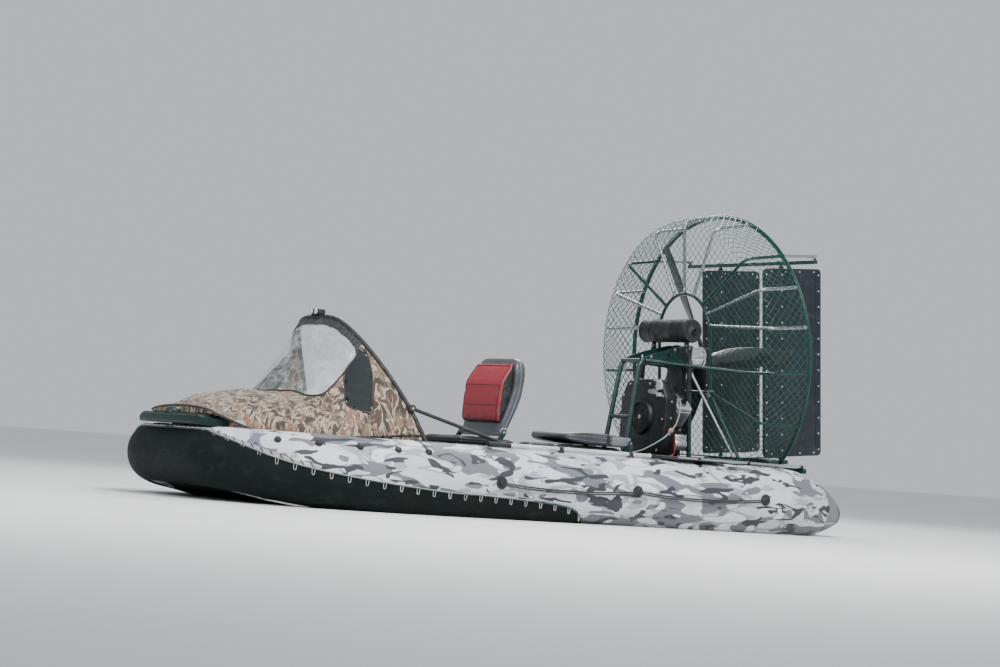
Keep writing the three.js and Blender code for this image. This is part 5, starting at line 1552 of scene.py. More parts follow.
def make_cylinder(side, sign):
    """One finned cylinder of the V, with its rocker cover, spark plug and lead."""
    piece = Piece(f"{side}_finned_cylinder", "steel", replaces=[f"{side}_cylinder"])
    place = Matrix.Translation((0, sign * 0.0828, 0.6828)) @ Matrix.Rotation(-sign * math.pi / 4, 4, "X")
    x, aft, fore = -1.1885, ENGINE_AFT + 0.008, ENGINE_FORE - 0.008

    def put(form, finish, **options):
        piece.add(placed(form, place), finish, **options)

    put(lathe([(0, 0.046), (0.012, 0.046), (0.013, 0.041), (0.124, 0.041)], (x, 0, 0), (0, 0, 1), 28),
        cast_alloy)
    for i in range(12):
        z = 0.016 + i * 0.0088
        fin = round_outline([(aft, -0.058), (fore, -0.058), (fore, 0.058), (aft, 0.058)], 0.016, 3)
        put(prism(fin, z, z + 0.0026, 0.0008, Matrix.Identity(4)), cast_alloy)
    head = round_outline([(aft - 0.001, -0.054), (fore + 0.001, -0.054), (fore + 0.001, 0.054),
                          (aft - 0.001, 0.054)], 0.012, 3)
    put(prism(head, 0.1225, 0.136, 0.002, Matrix.Identity(4)), pale_alloy)
    put(prism(np.array(head) * (1, 0.9), 0.137, 0.1595, 0.007, Matrix.Identity(4)), pale_alloy)
    corners = [(cx, cy, 0.136) for cx in (aft + 0.01, fore - 0.01) for cy in (-0.05, 0.05)]
    put(bolts(corners, (0, 0, 1), 0.0045, 0.005), bolt_steel)
    put(lathe([(0, 0.009), (0.01, 0.009), (0.012, 0.0065), (0.03, 0.0065), (0.034, 0.004)],
              (x + 0.02, 0.0, 0.1585),
              (0, 0, 1), 12), soft_black)
    top = place @ Vector((x + 0.02, 0, 0.192))
    lead = smooth_path([top, top + Vector((0.01, sign * 0.01, 0.012)), (-1.15, sign * 0.15, 0.865),
                        (-1.14, sign * 0.1, 0.85), (-1.13, sign * 0.08, 0.8), (-1.1265, sign * 0.06, 0.735)],
                        6)
    piece.add(sweep(lead, 0.0035, 8), soft_black)
    piece.build(sharp=40)


def make_carburettor():
    """The pale carburettor on its neck, with flanges, a brass knob and a round air cleaner."""
    piece = Piece("carburettor_body", "aluminium", replaces=["carburettor"])
    piece.add(block((-1.225, -0.02, 0.7255), (-1.165, 0.02, 0.766), 0.006), cast_alloy)
    piece.add(block((-1.248, -0.05, 0.763), (-1.142, 0.05, 0.772), 0.003), cast_alloy)
    piece.add(block((-1.238, -0.042, 0.770), (-1.152, 0.042, 0.815), 0.01, 3), pale_alloy)
    piece.add(block((-1.25, -0.052, 0.813), (-1.14, 0.052, 0.823), 0.003), pale_alloy)
    piece.add(block((-1.242, -0.046, 0.822), (-1.148, 0.046, 0.862), 0.012, 3), pale_alloy)
    piece.add(lathe([(0, 0.02), (0.004, 0.02), (0.005, 0.017), (0.012, 0.0165), (0.014, 0.012)],
                    (-1.195, 0.041, 0.79), (0, 1, 0), 22), brass)
    piece.add(lathe([(0, 0.008), (0.006, 0.008), (0.007, 0.005), (0.011, 0.0048)], (-1.17, 0.0415, 0.85),
                    (0, 1, 0), 12), brass)
    cleaner = [(0, 0.04), (0.004, 0.046), (0.012, 0.046), (0.014, 0.043), (0.03, 0.043), (0.032, 0.046),
               (0.038, 0.045),
               (0.0425, 0.036), (0.043, 0.012)]
    piece.add(lathe(cleaner, (-1.195, 0, 0.862), (0, 0, 1), 36), pale_alloy)
    piece.add(bolt((-1.195, 0, 0.9035), (0, 0, 1), 0.006, 0.001), bolt_steel)
    corners = [(x, y, 0.823) for x in (-1.243, -1.147) for y in (-0.047, 0.047)]
    piece.add(bolts(corners, (0, 0, 1), 0.0035, 0.004), bolt_steel)
    arm = [(-1.16, 0.046, 0.835), (-1.155, 0.06, 0.835), (-1.15, 0.06, 0.8), (-1.15, 0.06, 0.775)]
    piece.add(sweep(round_path(arm, 0.006, 3), 0.002, 8), bolt_steel)
    piece.build(sharp=40)


def make_starter():
    """The starter and its solenoid, with two red leads that run inboard."""
    piece = Piece("starter_cans", "steel", replaces=["starter_motor"])
    can = [(0, 0.012), (0.001, 0.031), (0.004, 0.034), (0.028, 0.034), (0.029, 0.0325), (0.032, 0.0325),
           (0.033, 0.034),
           (0.084, 0.034), (0.089, 0.03), (0.09, 0.012)]
    piece.add(lathe(can, (-1.235, 0.178, 0.545), (1, 0, 0), 32), silver)
    small = [(0, 0.008), (0.001, 0.016), (0.003, 0.018), (0.07, 0.018), (0.074, 0.015), (0.075, 0.008)]
    piece.add(lathe(small, (-1.235, 0.168, 0.59), (1, 0, 0), 24), silver)
    piece.add(block((-1.225, 0.1255, 0.53), (-1.165, 0.165, 0.575), 0.004), cast_alloy)
    for z in (0.545, 0.59):
        piece.add(bolt((-1.1455 if z < 0.56 else -1.1605, 0.178 if z < 0.56 else 0.168, z), (1, 0, 0), 0.005,
                       0.006), brass)
    for start, spread in (((-1.155, 0.17, 0.592), 0.0), ((-1.14, 0.18, 0.55), 0.02)):
        lead = smooth_path([start, (-1.13, 0.19 + spread, 0.58), (-1.115, 0.24 + spread * 0.5, 0.54),
                            (-1.1, 0.25, 0.48), (-1.05, 0.22 + spread, 0.459),
                            (-0.98, 0.18 + spread, 0.4555)], 6)
        piece.add(sweep(lead, 0.0024, 8), wire_red)
    piece.build(sharp=40)


MUFFLER_X = -1.212
MUFFLER_Z = 1.246
MUFFLER_RADIUS = 0.074


def make_muffler():
    """The cross muffler with rolled rims, a paler end cap with its outlet, and two pipes from the heads."""
    piece = Piece("muffler_can", "black_metal", replaces=["muffler"])
    r = MUFFLER_RADIUS
    can = [(0, 0.03), (0.002, r - 0.012), (0.006, r - 0.003), (0.012, r), (0.018, r - 0.003),
           (0.025, r - 0.004),
           (0.15, r - 0.003), (0.155, r - 0.001), (0.16, r - 0.003), (0.31, r - 0.003), (0.315, r - 0.001),
           (0.32, r - 0.003), (0.445, r - 0.004), (0.452, r - 0.003), (0.459, r), (0.465, r - 0.003)]
    piece.add(lathe(can, (MUFFLER_X, -0.25, MUFFLER_Z), (0, 1, 0), 56), muffler_black)
    cap = [(0.0, r - 0.003), (0.004, r - 0.005), (0.006, r - 0.014), (0.003, r - 0.02), (0.003, 0.022),
           (0.006, 0.018)]
    piece.add(lathe(cap, (MUFFLER_X, 0.2155, MUFFLER_Z), (0, 1, 0), 56), cap_grey)
    pipe = [(0, 0.0155), (0.02, 0.0155), (0.021, 0.0145), (0.0205, 0.0125), (0.004, 0.012)]
    piece.add(lathe(pipe, (MUFFLER_X, 0.217, MUFFLER_Z), (0, 1, 0), 24), cap_grey)
    piece.add(lathe([(0, 0.012), (0.001, 0.0118)], (MUFFLER_X, 0.221, MUFFLER_Z), (0, 1, 0), 20), soft_black)
    for sign in (1, -1):
        route = round_path([(-1.188, sign * 0.1962, 0.7962), (-1.188, sign * 0.24, 0.84),
                            (-1.195, sign * 0.24, 1.05),
                            (MUFFLER_X, sign * 0.165, 1.11),
                            (MUFFLER_X, sign * 0.165, MUFFLER_Z - r + 0.006)], 0.035, 6)
        piece.add(sweep(route, 0.015, 16), muffler_black)
        piece.add(lathe([(0, 0.024), (0.007, 0.024), (0.009, 0.018)], route[0], (0, sign, 1), 20), hot_grey)
        piece.add(lathe([(0, 0.018), (0.01, 0.018)], (MUFFLER_X, sign * 0.165, 1.15), (0, 0, 1), 20),
                  hot_grey)
    for y in (-0.14, 0.14):
        band = [(MUFFLER_X + (r + 0.0005) * math.cos(a), y, MUFFLER_Z + (r + 0.0005) * math.sin(a))
                for a in np.arange(48) * math.pi / 24]
        piece.add(sweep(band, 0.0016, 6, loop=True), muffler_black)
    piece.build(sharp=40)


def make_mast_brace(side, sign):
    """The bright brace from the mast's top down to the cage's low bar."""
    piece = Piece(f"{side}_bright_brace", "aluminium", replaces=[f"{side}_mast_brace"])
    low = THRUST @ Vector((CAGE_DEPTH, 0, LOW_Z))
    top = np.array((MAST_AFT_X, sign * 0.1, 1.01))
    bottom = np.array((low.x, sign * 0.5, low.z + 0.004))
    way = unit(bottom - top)
    start, end = top + way * 0.014, bottom - way * 0.016
    piece.add(rod(start, end, 0.0085, 16), cast_alloy)
    for place, turn in ((start + way * 0.006, way), (end - way * 0.02, way)):
        piece.add(lathe([(0, 0.0115), (0.014, 0.0115), (0.015, 0.0095)], place, turn, 16), bolt_steel)
    piece.build()


# Propeller
PROP_RADIUS = 0.82
PROP_X = 0.105
BLADE_TURNS = (30, 150, 270)
BLADE_TABLE = [
    # share of the radius, chord, twist in degrees, thickness
    (0.05, 0.060, 48, 0.034), (0.2, 0.128, 38, 0.022), (0.45, 0.138, 26, 0.015),
    (0.75, 0.112, 17, 0.010), (0.95, 0.08, 13, 0.007), (1.0, 0.04, 12, 0.004),
]


def blade(turn):
    loops = []
    for share, chord, twist, thickness in smooth_path(BLADE_TABLE, 5):
        lean = math.radians(twist)
        loop = []
        for angle in np.arange(24) * math.pi / 12:
            across = chord / 2 * math.cos(angle)
            deep = thickness / 2 * math.sin(angle) * (1 + 0.25 * math.cos(angle))
            loop.append((PROP_X + across * math.sin(lean) + deep * math.cos(lean),
                         across * math.cos(lean) - deep * math.sin(lean), PROP_RADIUS * min(share, 1.0)))
        loops.append(loop)
    return placed(loft(loops), Matrix.Rotation(turn, 4, "X"))


def make_propeller():
    piece = Piece("propeller_blades", "black", body="propeller", replaces=["propeller"])
    for turn in BLADE_TURNS:
        piece.add(on_thrust(blade(math.radians(turn))), blade_black)
    hub = [(0.063, 0.03), (0.065, 0.052), (0.068, 0.055), (0.094, 0.055), (0.096, 0.053), (0.114, 0.053),
           (0.116, 0.055),
           (0.136, 0.055), (0.139, 0.051), (0.139, 0.02)]
    piece.add(on_thrust(lathe(hub, (0, 0, 0), (1, 0, 0), 40)), engine_black)
    cap = [(0.035, 0.004), (0.036, 0.022), (0.04, 0.028), (0.048, 0.03), (0.065, 0.03)]
    piece.add(on_thrust(lathe(cap, (0, 0, 0), (1, 0, 0), 32)), bolt_steel)
    piece.add(on_thrust(rod((PROP_X, 0, 0), (0.344, 0, 0), 0.0198, 28)), bolt_steel)
    places = [(0.063, 0.042 * math.cos(a), 0.042 * math.sin(a)) for a in np.arange(6) * math.pi / 3]
    piece.add(on_thrust(bolts(places, (-1, 0, 0), 0.005, 0.005)), bolt_steel)
    piece.build(sharp=40)


# Cage
LOW_Z = -0.62887
FOOT_Y = 0.545
SILVER_RODS = (0, 21, -21, 61, -61, 78, -78)
GREEN_RODS = (45, -45, 118, -118)
STAY_Y = 0.628
STAY_Z = -0.092
RING_FOOT_Y = 0.604
BAR = 0.01


def drum_radius(x):
    """The drum narrows from the ring to its front."""
    return CAGE_RADIUS + (CAGE_FRONT - CAGE_RADIUS) * min(max(x / CAGE_DEPTH, 0.0), 1.0)


def on_drum(angle, x):
    angle, radius = math.radians(angle), drum_radius(x)
    return np.array((x, radius * math.sin(angle), radius * math.cos(angle)))


def spoke_root(angle):
    if abs(angle) > 90:
        return np.array((CAGE_DEPTH, math.copysign(HOOP_RADIUS, angle), HOOP_FOOT_Z))
    turn = math.radians(angle)
    return np.array((CAGE_DEPTH, HOOP_RADIUS * math.sin(turn), HOOP_Z + HOOP_RADIUS * math.cos(turn)))


def make_cage():
    """Rear ring, front hoop, bent rods between them, stays and feet."""
    front = Piece("cage_hoop", "green_paint", replaces=["cage_front"])
    ring = Piece("cage_drum", "green_paint", replaces=["cage_ring"])
    circle = [on_drum(angle, 0) for angle in np.arange(0, 360, 3)]
    ring.add(on_thrust(sweep(circle, ROD, 14, loop=True)), frame_green)
    arch = [(CAGE_DEPTH, -HOOP_RADIUS, HOOP_FOOT_Z)]
    arch += [(CAGE_DEPTH, HOOP_RADIUS * math.cos(a), HOOP_Z + HOOP_RADIUS * math.sin(a))
             for a in np.linspace(math.pi, 0, 33)]
    arch += [(CAGE_DEPTH, HOOP_RADIUS, HOOP_FOOT_Z)]
    front.add(on_thrust(sweep(arch, ROD, 14)), frame_green)
    for angle in SILVER_RODS + GREEN_RODS:
        finish = rod_silver if angle in SILVER_RODS else frame_green
        corner = on_drum(angle, CAGE_DEPTH - 0.0005)
        path = round_path([spoke_root(angle), corner, on_drum(angle, 0)], 0.055, 8)
        split = len(path) // 2
        radius = ROD * (0.8 if abs(angle) > 90 else 0.96)
        front.add(on_thrust(sweep(path[:split + 1], radius, 12)), finish)
        ring.add(on_thrust(sweep(path[split:], radius, 12)), finish)
        way = unit(path[1] - path[0])
        front.add(on_thrust(lathe([(0.006, ROD + 0.002), (0.03, ROD + 0.0015), (0.034, ROD)], path[0], way,
                                  12)), finish)
        ring.add(on_thrust(lathe([(0, ROD + 0.002), (0.02, ROD + 0.0015), (0.024, ROD)],
                                 on_drum(angle, 0.008), (1, 0, 0),
                                 12)), finish)
    ring_foot = -math.sqrt(CAGE_RADIUS ** 2 - FOOT_Y ** 2)
    for side in (1, -1):
        front.add(on_thrust(rod((CAGE_DEPTH, side * HOOP_RADIUS, HOOP_FOOT_Z),
                                (CAGE_DEPTH, side * FOOT_Y, LOW_Z), BAR, 14)),
                  frame_green)
        ring.add(on_thrust(rod((CAGE_DEPTH - 0.011, side * FOOT_Y, LOW_Z), (0, side * FOOT_Y, ring_foot), BAR,
                               14)), frame_green)
        outer, aft_outer = (side * math.sqrt(drum_radius(x) ** 2 - STAY_Z ** 2) for x in (CAGE_DEPTH, 0))
        start = THRUST.inverted() @ Vector((-0.953, side * 0.108, 1.041))
        stay = round_path([start, (CAGE_DEPTH, side * STAY_Y, STAY_Z), (CAGE_DEPTH, outer, STAY_Z),
                           (0, aft_outer, STAY_Z)], 0.045, 6)
        ring.add(on_thrust(sweep(stay, 0.0098, 14)), frame_green)
        front.add(on_thrust(block((CAGE_DEPTH - 0.014, side * HOOP_RADIUS - 0.016, HOOP_FOOT_Z - 0.03),
                                  (CAGE_DEPTH + 0.014, side * HOOP_RADIUS + 0.016, HOOP_FOOT_Z + 0.012),
                                  0.004)), bolt_steel)
        for y in (0.26, 0.4):
            front.add(block((-1.402, side * y - 0.016, FRAME_TOP + 0.0005), (-1.376, side * y + 0.016, 0.468),
                            0.003),
                      frame_green)
            front.add(bolt((-1.389, side * y, 0.468), (0, 0, 1), 0.006, 0.006), bolt_steel)
        y = side * RING_FOOT_Y
        ring.add(block((-1.672, y - 0.0145, 0.452), (-1.644, y + 0.0145, 0.476), 0.003), frame_green)
        ring.add(bolt((-1.658, y, 0.476), (0, 0, 1), 0.005, 0.005), bolt_steel)
    front.add(on_thrust(rod((CAGE_DEPTH, -0.56, LOW_Z), (CAGE_DEPTH, 0.56, LOW_Z), BAR, 14)), frame_green)
    front.add(on_thrust(rod((CAGE_DEPTH, -0.26, HOOP_FOOT_Z), (CAGE_DEPTH, 0.26, HOOP_FOOT_Z), BAR, 14)),
              frame_green)
    front.build()
    ring.build()


def make_rudder_carrier():
    """The bar that hangs the rudders' tops from the cage's upper rods."""
    piece = Piece("rudder_bar", "green_paint", replaces=["rudder_carrier"])
    upper = CAGE_RADIUS * math.cos(math.radians(45))
    for side in (1, -1):
        arm = [on_drum(side * 45, -0.0108), on_drum(side * 45, -0.278)]
        piece.add(on_thrust(sweep(arm, 0.01, 14)), rod_silver if side > 0 else cast_alloy)
        piece.add(on_thrust(rod((RUDDER_X, side * upper, 0.585), (RUDDER_X, side * upper, upper), 0.008, 12)),
                  frame_green)
        for x in (-0.02, -0.262):
            collar = [on_drum(side * 45, x - 0.012), on_drum(side * 45, x + 0.009)]
            piece.add(on_thrust(rod(*collar, 0.0125, 14)), bolt_steel)
        piece.add(on_thrust(lathe([(0, 0.02), (0.012, 0.02), (0.014, 0.017)],
                                  (RUDDER_X, side * RUDDER_Y, 0.5985), (0, 0, 1),
                                  20)), bolt_steel)
    piece.add(on_thrust(block((RUDDER_X - 0.016, -upper - 0.008, 0.5752),
                              (RUDDER_X + 0.016, upper + 0.008, 0.5988), 0.003)),
              frame_green)
    piece.build()


NET_WIRE = 0.0017
NET_PITCH = 0.038
NET_RISE = 0.0021
NET_TURNS = 104
# The net's fold from the front face round the drum's edge to the ring, as x and radius
NET_FOLD = np.array([
    (NET_X, CAGE_FRONT - 0.036), (NET_X - 0.0005, CAGE_FRONT - 0.014), (NET_X - 0.008, CAGE_FRONT + 0.006),
    (NET_X - 0.026, CAGE_FRONT + 0.0165), (0.004, CAGE_RADIUS + 0.0165),
])


def in_face(y, z):
    """Whether a place is on the net's front face, outside the hoop."""
    if math.hypot(y, z) > NET_FOLD[0][1] or z < NET_FOOT_Z:
        return False
    inside_hoop = abs(y) < HOOP_RADIUS and HOOP_FOOT_Z < z < HOOP_Z
    return not inside_hoop and math.hypot(y, z - HOOP_Z) > HOOP_RADIUS


def wire(path):
    return sweep(path, NET_WIRE, 4)


def face_wires():
    """Two sets of slanted wires, each passing over and under the ones it meets."""
    forms = []
    count = int(CAGE_FRONT / NET_PITCH) + 1
    steps = 4
    for way in (1, -1):
        for i in range(-count, count + 1):
            run = []
            for k in range(-count * steps, count * steps + 1):
                along, across = k * NET_PITCH / steps, i * NET_PITCH
                y, z = (along - way * across) * math.sqrt(0.5), (way * along + across) * math.sqrt(0.5)
                if in_face(y, z):
                    meets = k % steps == 0
                    lift = NET_RISE * way * (1 if (k // steps + i) % 2 else -1) if meets else 0
                    run.append(((NET_X + lift, y, z), meets))
                if run and (not in_face(y, z) or k == count * steps):
                    path = [p for n, (p, meets) in enumerate(run) if meets or n in (0, len(run) - 1)]
                    if len(path) > 1:
                        forms.append(wire(path))
                    run = []
    return forms


def fold_place(reach, lift, angle):
    """A point on the net's fold, by the way gone along it from the face and the angle from the top."""
    gone = gone_along(NET_FOLD)
    x, radius = point_at(NET_FOLD, gone, reach * gone[-1])
    radius += lift
    return x, radius * math.sin(angle), radius * math.cos(angle)


def side_wires(low):
    """The same mesh laid round the drum in turns of angle, down to its foot on each side."""
    forms = []
    step = 2 * math.pi / NET_TURNS
    rows = 2 * int(0.33 / (step * CAGE_RADIUS)) + 1
    for way in (1, -1):
        for i in range(NET_TURNS):
            path = []
            for k in range(rows + 1):
                angle = (i + way * k / 2) * step
                angle = (angle + math.pi) % (2 * math.pi) - math.pi
                if abs(angle) < low:
                    path.append(fold_place(k / rows, NET_RISE * way * (1 if (k + i) % 2 else -1), angle))
                    continue
                if len(path) > 1:
                    forms.append(wire(path))
                path = []
            if len(path) > 1:
                forms.append(wire(path))
    return forms


def make_net():
    """Coated chain mesh over the drum's front, folded back round its side to the ring."""
    piece = Piece("cage_mesh", "green_paint", replaces=[
        "net_face_port", "net_face_top", "net_face_starboard", "net_side_port", "net_side_top",
        "net_side_starboard",
    ])
    low = math.acos(NET_FOOT_Z / (CAGE_FRONT + 0.012))
    forms = face_wires() + side_wires(low)
    rim = [fold_place(1.0, 0.0, a) for a in np.linspace(-low, low, 110)]
    forms.append(sweep(rim, 0.0036, 8))
    foot = math.sqrt(CAGE_FRONT ** 2 - NET_FOOT_Z ** 2)
    forms.append(rod((NET_X, -foot, NET_FOOT_Z), (NET_X, foot, NET_FOOT_Z), 0.004, 8))
    for side in (1, -1):
        forms.append(rod((NET_X - 0.01, side * (foot + 0.002), NET_FOOT_Z),
                         (0.004, side * (foot + 0.046), NET_FOOT_Z), 0.004, 8))
    piece.add(on_thrust(merged(*forms)), net_green)
    piece.build()


# Rudders
RUDDER_Y = 0.3
RUDDER_X = -0.262
RUDDER_EDGES = (-0.582, -0.117)
RUDDER_LOW = -0.625
RUDDER_HIGH = 0.555


def make_rudder(side, sign):
    """A riveted sheet panel on its upright stock."""
    piece = Piece(f"{side}_rudder_panel", "slate_paint", body=f"{side}_rudder", replaces=[f"{side}_rudder"])
    y, half = sign * RUDDER_Y, 0.011
    aft, fore = RUDDER_EDGES
    corners = [(aft, RUDDER_LOW), (fore, RUDDER_LOW), (fore, RUDDER_HIGH), (aft, RUDDER_HIGH)]
    outline = round_outline(corners, 0.03, 6)
    panel = prism(outline, -half, half, 0.0045, XZ)
    piece.add(on_thrust(placed(panel, Matrix.Translation((0, y, 0)))), rudder_slate)
    places = [(x, z) for z in np.linspace(RUDDER_LOW + 0.04, RUDDER_HIGH - 0.04, 12)
              for x in (aft + 0.02, fore - 0.02, RUDDER_X)]
    places += [(x, z) for x in np.linspace(aft + 0.06, fore - 0.06, 4)
               for z in (RUDDER_LOW + 0.02, RUDDER_HIGH - 0.02)]
    studs = []
    for way in (1, -1):
        studs += [rivet((x, y + way * (half - 0.0003), z), (0, way, 0), 0.0055) for x, z in places]
        for x in (aft + 0.042, fore - 0.042):
            fold = [(x, y + way * half, z) for z in (RUDDER_LOW + 0.05, RUDDER_HIGH - 0.05)]
            piece.add(on_thrust(sweep(fold, 0.0022, 6)), rudder_slate)
    piece.add(on_thrust(merged(*studs)), silver)
    piece.add(on_thrust(rod((RUDDER_X, y, RUDDER_LOW - 0.0195), (RUDDER_X, y, RUDDER_HIGH + 0.0195), 0.0105,
                            18)), rudder_slate)
    for z in (RUDDER_LOW - 0.016, RUDDER_HIGH + 0.002):
        piece.add(on_thrust(lathe([(0, 0.018), (0.008, 0.018), (0.01, 0.013)], (RUDDER_X, y, z), (0, 0, 1),
                                  20)), soft_black)
    piece.build(sharp=40)


# Steering, oars, rails and tank
WHEEL_RADIUS = 0.155
COLUMN_TOP = (0.8, 0, 0.64)


def make_steering():
    column = Piece("steering_post", "slate_paint", replaces=["steering_column"])
    foot, top = np.array((1.12, 0, 0.112)), np.array(COLUMN_TOP)
    reach, way = np.linalg.norm(top - foot), unit(top - foot)
    profile = [(0, 0.024), (0.02, 0.024), (0.024, 0.0215), (reach - 0.11, 0.0215), (reach - 0.1, 0.022),
               (reach - 0.002, 0.022)]
    column.add(lathe(profile, foot, way, 24), rudder_slate)
    column.add(lathe([(0, 0.03), (0.05, 0.027), (0.056, 0.022)], top - way * 0.16, way, 24), soft_black)
    column.add(block((1.06, -0.07, DECK_TOP + 0.0005), (1.18, 0.07, DECK_TOP + 0.01), 0.003), rudder_slate)
    column.add(bolts([(x, y, DECK_TOP + 0.01) for x in (1.075, 1.165) for y in (-0.055, 0.055)], (0, 0, 1)),
               bolt_steel)
    column.build()
    axis = Vector((-0.32, 0, 0.54)).normalized()
    place = Matrix.Translation(Vector(COLUMN_TOP) + axis * 0.0163)
    place = place @ Vector((0, 0, 1)).rotation_difference(axis).to_matrix().to_4x4()
    wheel = Piece("wheel_rim", "black", body="steering_wheel", replaces=["steering_wheel"])
    rim = [(WHEEL_RADIUS * math.cos(a), WHEEL_RADIUS * math.sin(a), 0.0007 * math.sin(a * 24))
           for a in np.arange(96) * math.pi / 48]
    wheel.add(placed(sweep(rim, 0.0128, 14, loop=True), place), soft_black)
    for turn in (90, 180, 270):
        end = Vector((0.15 * math.cos(math.radians(turn - 90)), 0.15 * math.sin(math.radians(turn - 90)), 0))
        wheel.add(placed(sweep([(0, 0, 0), end], 0.0045, 10, flat=2.0), place), bolt_steel)
    hub = [(-0.016, 0.02), (-0.014, 0.032), (0.0, 0.034), (0.01, 0.033), (0.015, 0.026), (0.016, 0.01)]
    wheel.add(placed(lathe(hub, (0, 0, 0), (0, 0, 1), 28), place), soft_black)
    wheel.build()


def make_oar(side, sign):
    """An oar: black grip, white shaft with two clamps, thin neck and dark blade."""
    piece = Piece(f"{side}_oar_shaft", "aluminium", replaces=[f"{side}_oar"])
    y, z = sign * 0.79, 0.4573
    grip = [(0, 0.008), (0.003, 0.0138), (0.012, 0.0145), (0.02, 0.0138), (0.14, 0.0135), (0.145, 0.0145),
            (0.15, 0.0125)]
    piece.add(lathe(grip, (0.612, y, z), (-1, 0, 0), 20), soft_black)
    piece.add(rod((0.465, y, z), (-0.52, y, z), 0.0125, 20), oar_white)
    piece.add(lathe([(0, 0.013), (0.03, 0.0125), (0.04, 0.009), (0.2, 0.0085)], (-0.515, y, z), (-1, 0, 0),
                    18), soft_black)
    loops = []
    for t in np.linspace(0, 1, 22):
        x = -0.59 - 0.47 * t
        half = 0.014 + 0.052 * min(1, t * 3.2) ** 0.8
        if t > 0.86:
            half *= math.sqrt(max(0.02, 1 - ((t - 0.86) / 0.142) ** 2))
        loop = []
        for a in np.arange(20) * math.pi / 10:
            rib = 0.004 * math.exp(-((math.cos(a) * half) / 0.012) ** 2) * (1 - t)
            loop.append((x, y + half * math.cos(a), 0.4515 + (0.0035 + rib) * math.sin(a)))
        loops.append(loop)
    piece.add(loft(loops), soft_black)
    for x in (0.12, -0.37):
        piece.add(lathe([(-0.014, 0.0135), (-0.012, 0.016), (0.012, 0.016), (0.014, 0.0135)], (x, y, z),
                        (1, 0, 0), 20),
                  soft_black)
        piece.add(block((x - 0.018, y - 0.016, TUBE_TOP - 0.0095), (x + 0.018, y + 0.016, z - 0.004), 0.003),
                  soft_black)
    piece.build()


def make_rail(side, sign):
    piece = Piece(f"{side}_side_rail", "aluminium", replaces=[f"{side}_rail"])
    y, z = sign * RAIL_Y, 0.4593
    profile = [(0, 0.006), (0.002, 0.009), (2.072, 0.009), (2.074, 0.006)]
    piece.add(lathe(profile, (0.24, y, z), (-1, 0, 0), 18), silver)
    for x in (0.22, -0.05, -0.35, -0.63, -1.0, -1.38, -1.8):
        piece.add(lathe([(-0.009, 0.0095), (-0.008, 0.0115), (0.008, 0.0115), (0.009, 0.0095)], (x, y, z),
                        (1, 0, 0), 18),
                  soft_black)
        piece.add(bolt((x, y, z + 0.0105), (0, 0, 1), 0.004, 0.003), bolt_steel)
    piece.build()


def make_tank():
    """A red portable fuel tank with ribs, a handle, a cap and the hose's fitting."""
    piece = Piece("red_fuel_tank", "red_plastic", replaces=["fuel_tank"])
    sections = []
    for z, inset, corner in ((0.1004, 0.012, 0.03), (0.106, 0.003, 0.035), (0.12, 0.0, 0.035),
                             (0.17, 0.0, 0.035),
                             (0.174, 0.004, 0.035), (0.182, 0.004, 0.035), (0.186, 0.0, 0.035),
                             (0.25, 0.0, 0.035),
                             (0.278, 0.004, 0.035), (0.294, 0.016, 0.035), (0.3, 0.034, 0.03)):
        sections.append((z, -1.18 + inset, -0.86 - inset, 0.115 - inset, corner))
    points, faces = stack(sections)
    piece.add((points + (0, 0.365, 0), faces), tank_red)
    handle = round_path([(-1.11, 0.365, 0.29), (-1.1, 0.365, 0.32), (-0.99, 0.365, 0.32),
                         (-0.98, 0.365, 0.29)], 0.015, 4)
    piece.add(sweep(handle, 0.008, 12), tank_red)
    cap = [(0, 0.034), (0.004, 0.036), (0.024, 0.034), (0.028, 0.03), (0.029, 0.01)]
    piece.add(lathe(cap, (-0.92, 0.39, 0.3), (0, 0, 1), 30), soft_black)
    piece.add(block((-0.9, 0.298, 0.278), (-0.862, 0.326, 0.306), 0.004), soft_black)
    piece.add(lathe([(0, 0.008), (0.004, 0.008), (0.005, 0.0045), (0.012, 0.0043)], (-0.866, 0.312, 0.292),
                    (1, 0, 0), 12), brass)
    piece.build()


def dress(node, finish, bevel):
    """Gives a carried-over piece of the frame its finish and eased edges."""
    made = bpy.data.objects[node]
    made.data.materials.clear()
    made.data.materials.append(finish.material)
    made.data.polygons.foreach_set("material_index", [0] * len(made.data.polygons))
    if bevel:
        edge = made.modifiers.new("edge", "BEVEL")
        edge.width, edge.segments, edge.angle_limit = bevel, 2, math.radians(40)


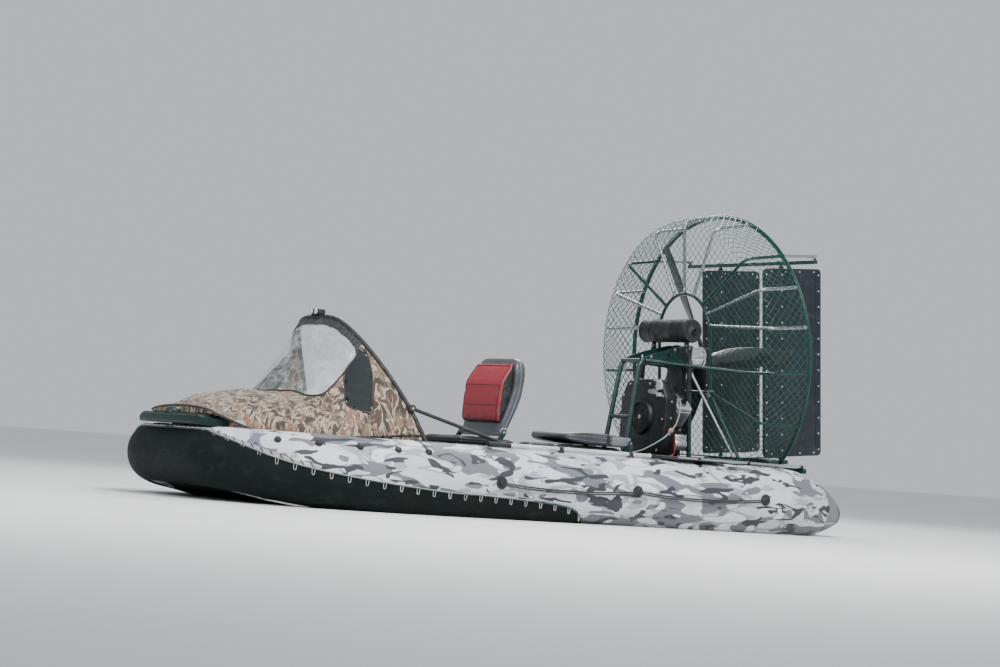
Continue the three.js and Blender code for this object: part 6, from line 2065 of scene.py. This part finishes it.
make_tubes()
make_cover()
make_lacing()
make_bow_band()
make_bow_lamp()
make_tent()
make_window()
make_tent_trim()
make_hoop()
for side, sign in (("port", 1), ("starboard", -1)):
    make_grab_line(side, sign)
    make_tent_brace(side, sign)
    make_mast_brace(side, sign)
    make_cylinder(side, sign)
    make_rudder(side, sign)
    make_oar(side, sign)
    make_rail(side, sign)
make_cushion("driver_cushion", "driver_seat_cushion", 0.03, 0.43, 0.496)
make_cushion("rear_cushion", "rear_seat_cushion", -0.756, -0.24, 0.492)
make_driver_back()
make_rear_back()
make_engine_frame()
make_shaft_carrier()
make_bearing_housing()
make_belt_case()
make_crankcase()
make_shroud()
make_carburettor()
make_starter()
make_muffler()
make_propeller()
make_cage()
make_rudder_carrier()
make_net()
make_steering()
make_tank()
for node, finish, bevel in (
    ("base_frame", frame_green, 0.002), ("stern_beam", frame_green, 0.002), ("floor_deck", board_grey, 0.004),
    ("transom", board_grey, 0.004), ("bottom_skin", cover_cloth, 0), ("driver_seat_box", board_grey, 0.006),
    ("rear_seat_box", board_grey, 0.006),
):
    dress(node, finish, bevel)


# Stage and light
FLOOR_RINGS = (0.01, 2.0, 6.0, 15.0, 40.0, 90.0)
FLOOR_SIDES = 96


def make_stage():
    """A wide pale floor at the waterline, open on all sides."""
    finish = Finish("pale_floor", Roughness=0.75)
    tone = finish.noise(0.8, 2.0, 0.5)
    finish.feed(Base_Color=finish.mix(tone, (0.76, 0.76, 0.75), (0.80, 0.80, 0.79)))
    angles = np.arange(FLOOR_SIDES) * 2 * math.pi / FLOOR_SIDES
    points = [(reach * math.cos(a), reach * math.sin(a), WATERLINE) for reach in FLOOR_RINGS for a in angles]
    mesh = bpy.data.meshes.new("floor")
    mesh.from_pydata(points, [], grid_faces(len(FLOOR_RINGS), FLOOR_SIDES, True))
    mesh.materials.append(finish.material)
    made = bpy.data.objects.new("floor", mesh)
    bpy.context.scene.collection.objects.link(made)


def make_light(name, turn, rise, distance, size, power, colour=(1, 1, 1)):
    lamp = bpy.data.lights.new(name, "AREA")
    lamp.shape, lamp.size, lamp.energy, lamp.color = "DISK", size, power, colour
    made = bpy.data.objects.new(name, lamp)
    way = sight(turn, rise)
    made.location = way * distance + Vector((0, 0, 0.6))
    made.rotation_euler = way.to_track_quat("Z", "Y").to_euler()
    bpy.context.scene.collection.objects.link(made)


make_stage()
make_light("key", 80, 48, 7.0, 4.0, 620)
make_light("fill", 20, 30, 8.0, 5.0, 200, (0.94, 0.97, 1.0))
make_light("rim", 230, 40, 7.0, 3.0, 300)
world = bpy.data.worlds.new("studio")
world.use_nodes = True
world.node_tree.nodes["Background"].inputs["Color"].default_value = (0.86, 0.9, 0.95, 1)
world.node_tree.nodes["Background"].inputs["Strength"].default_value = 0.7
bpy.context.scene.world = world
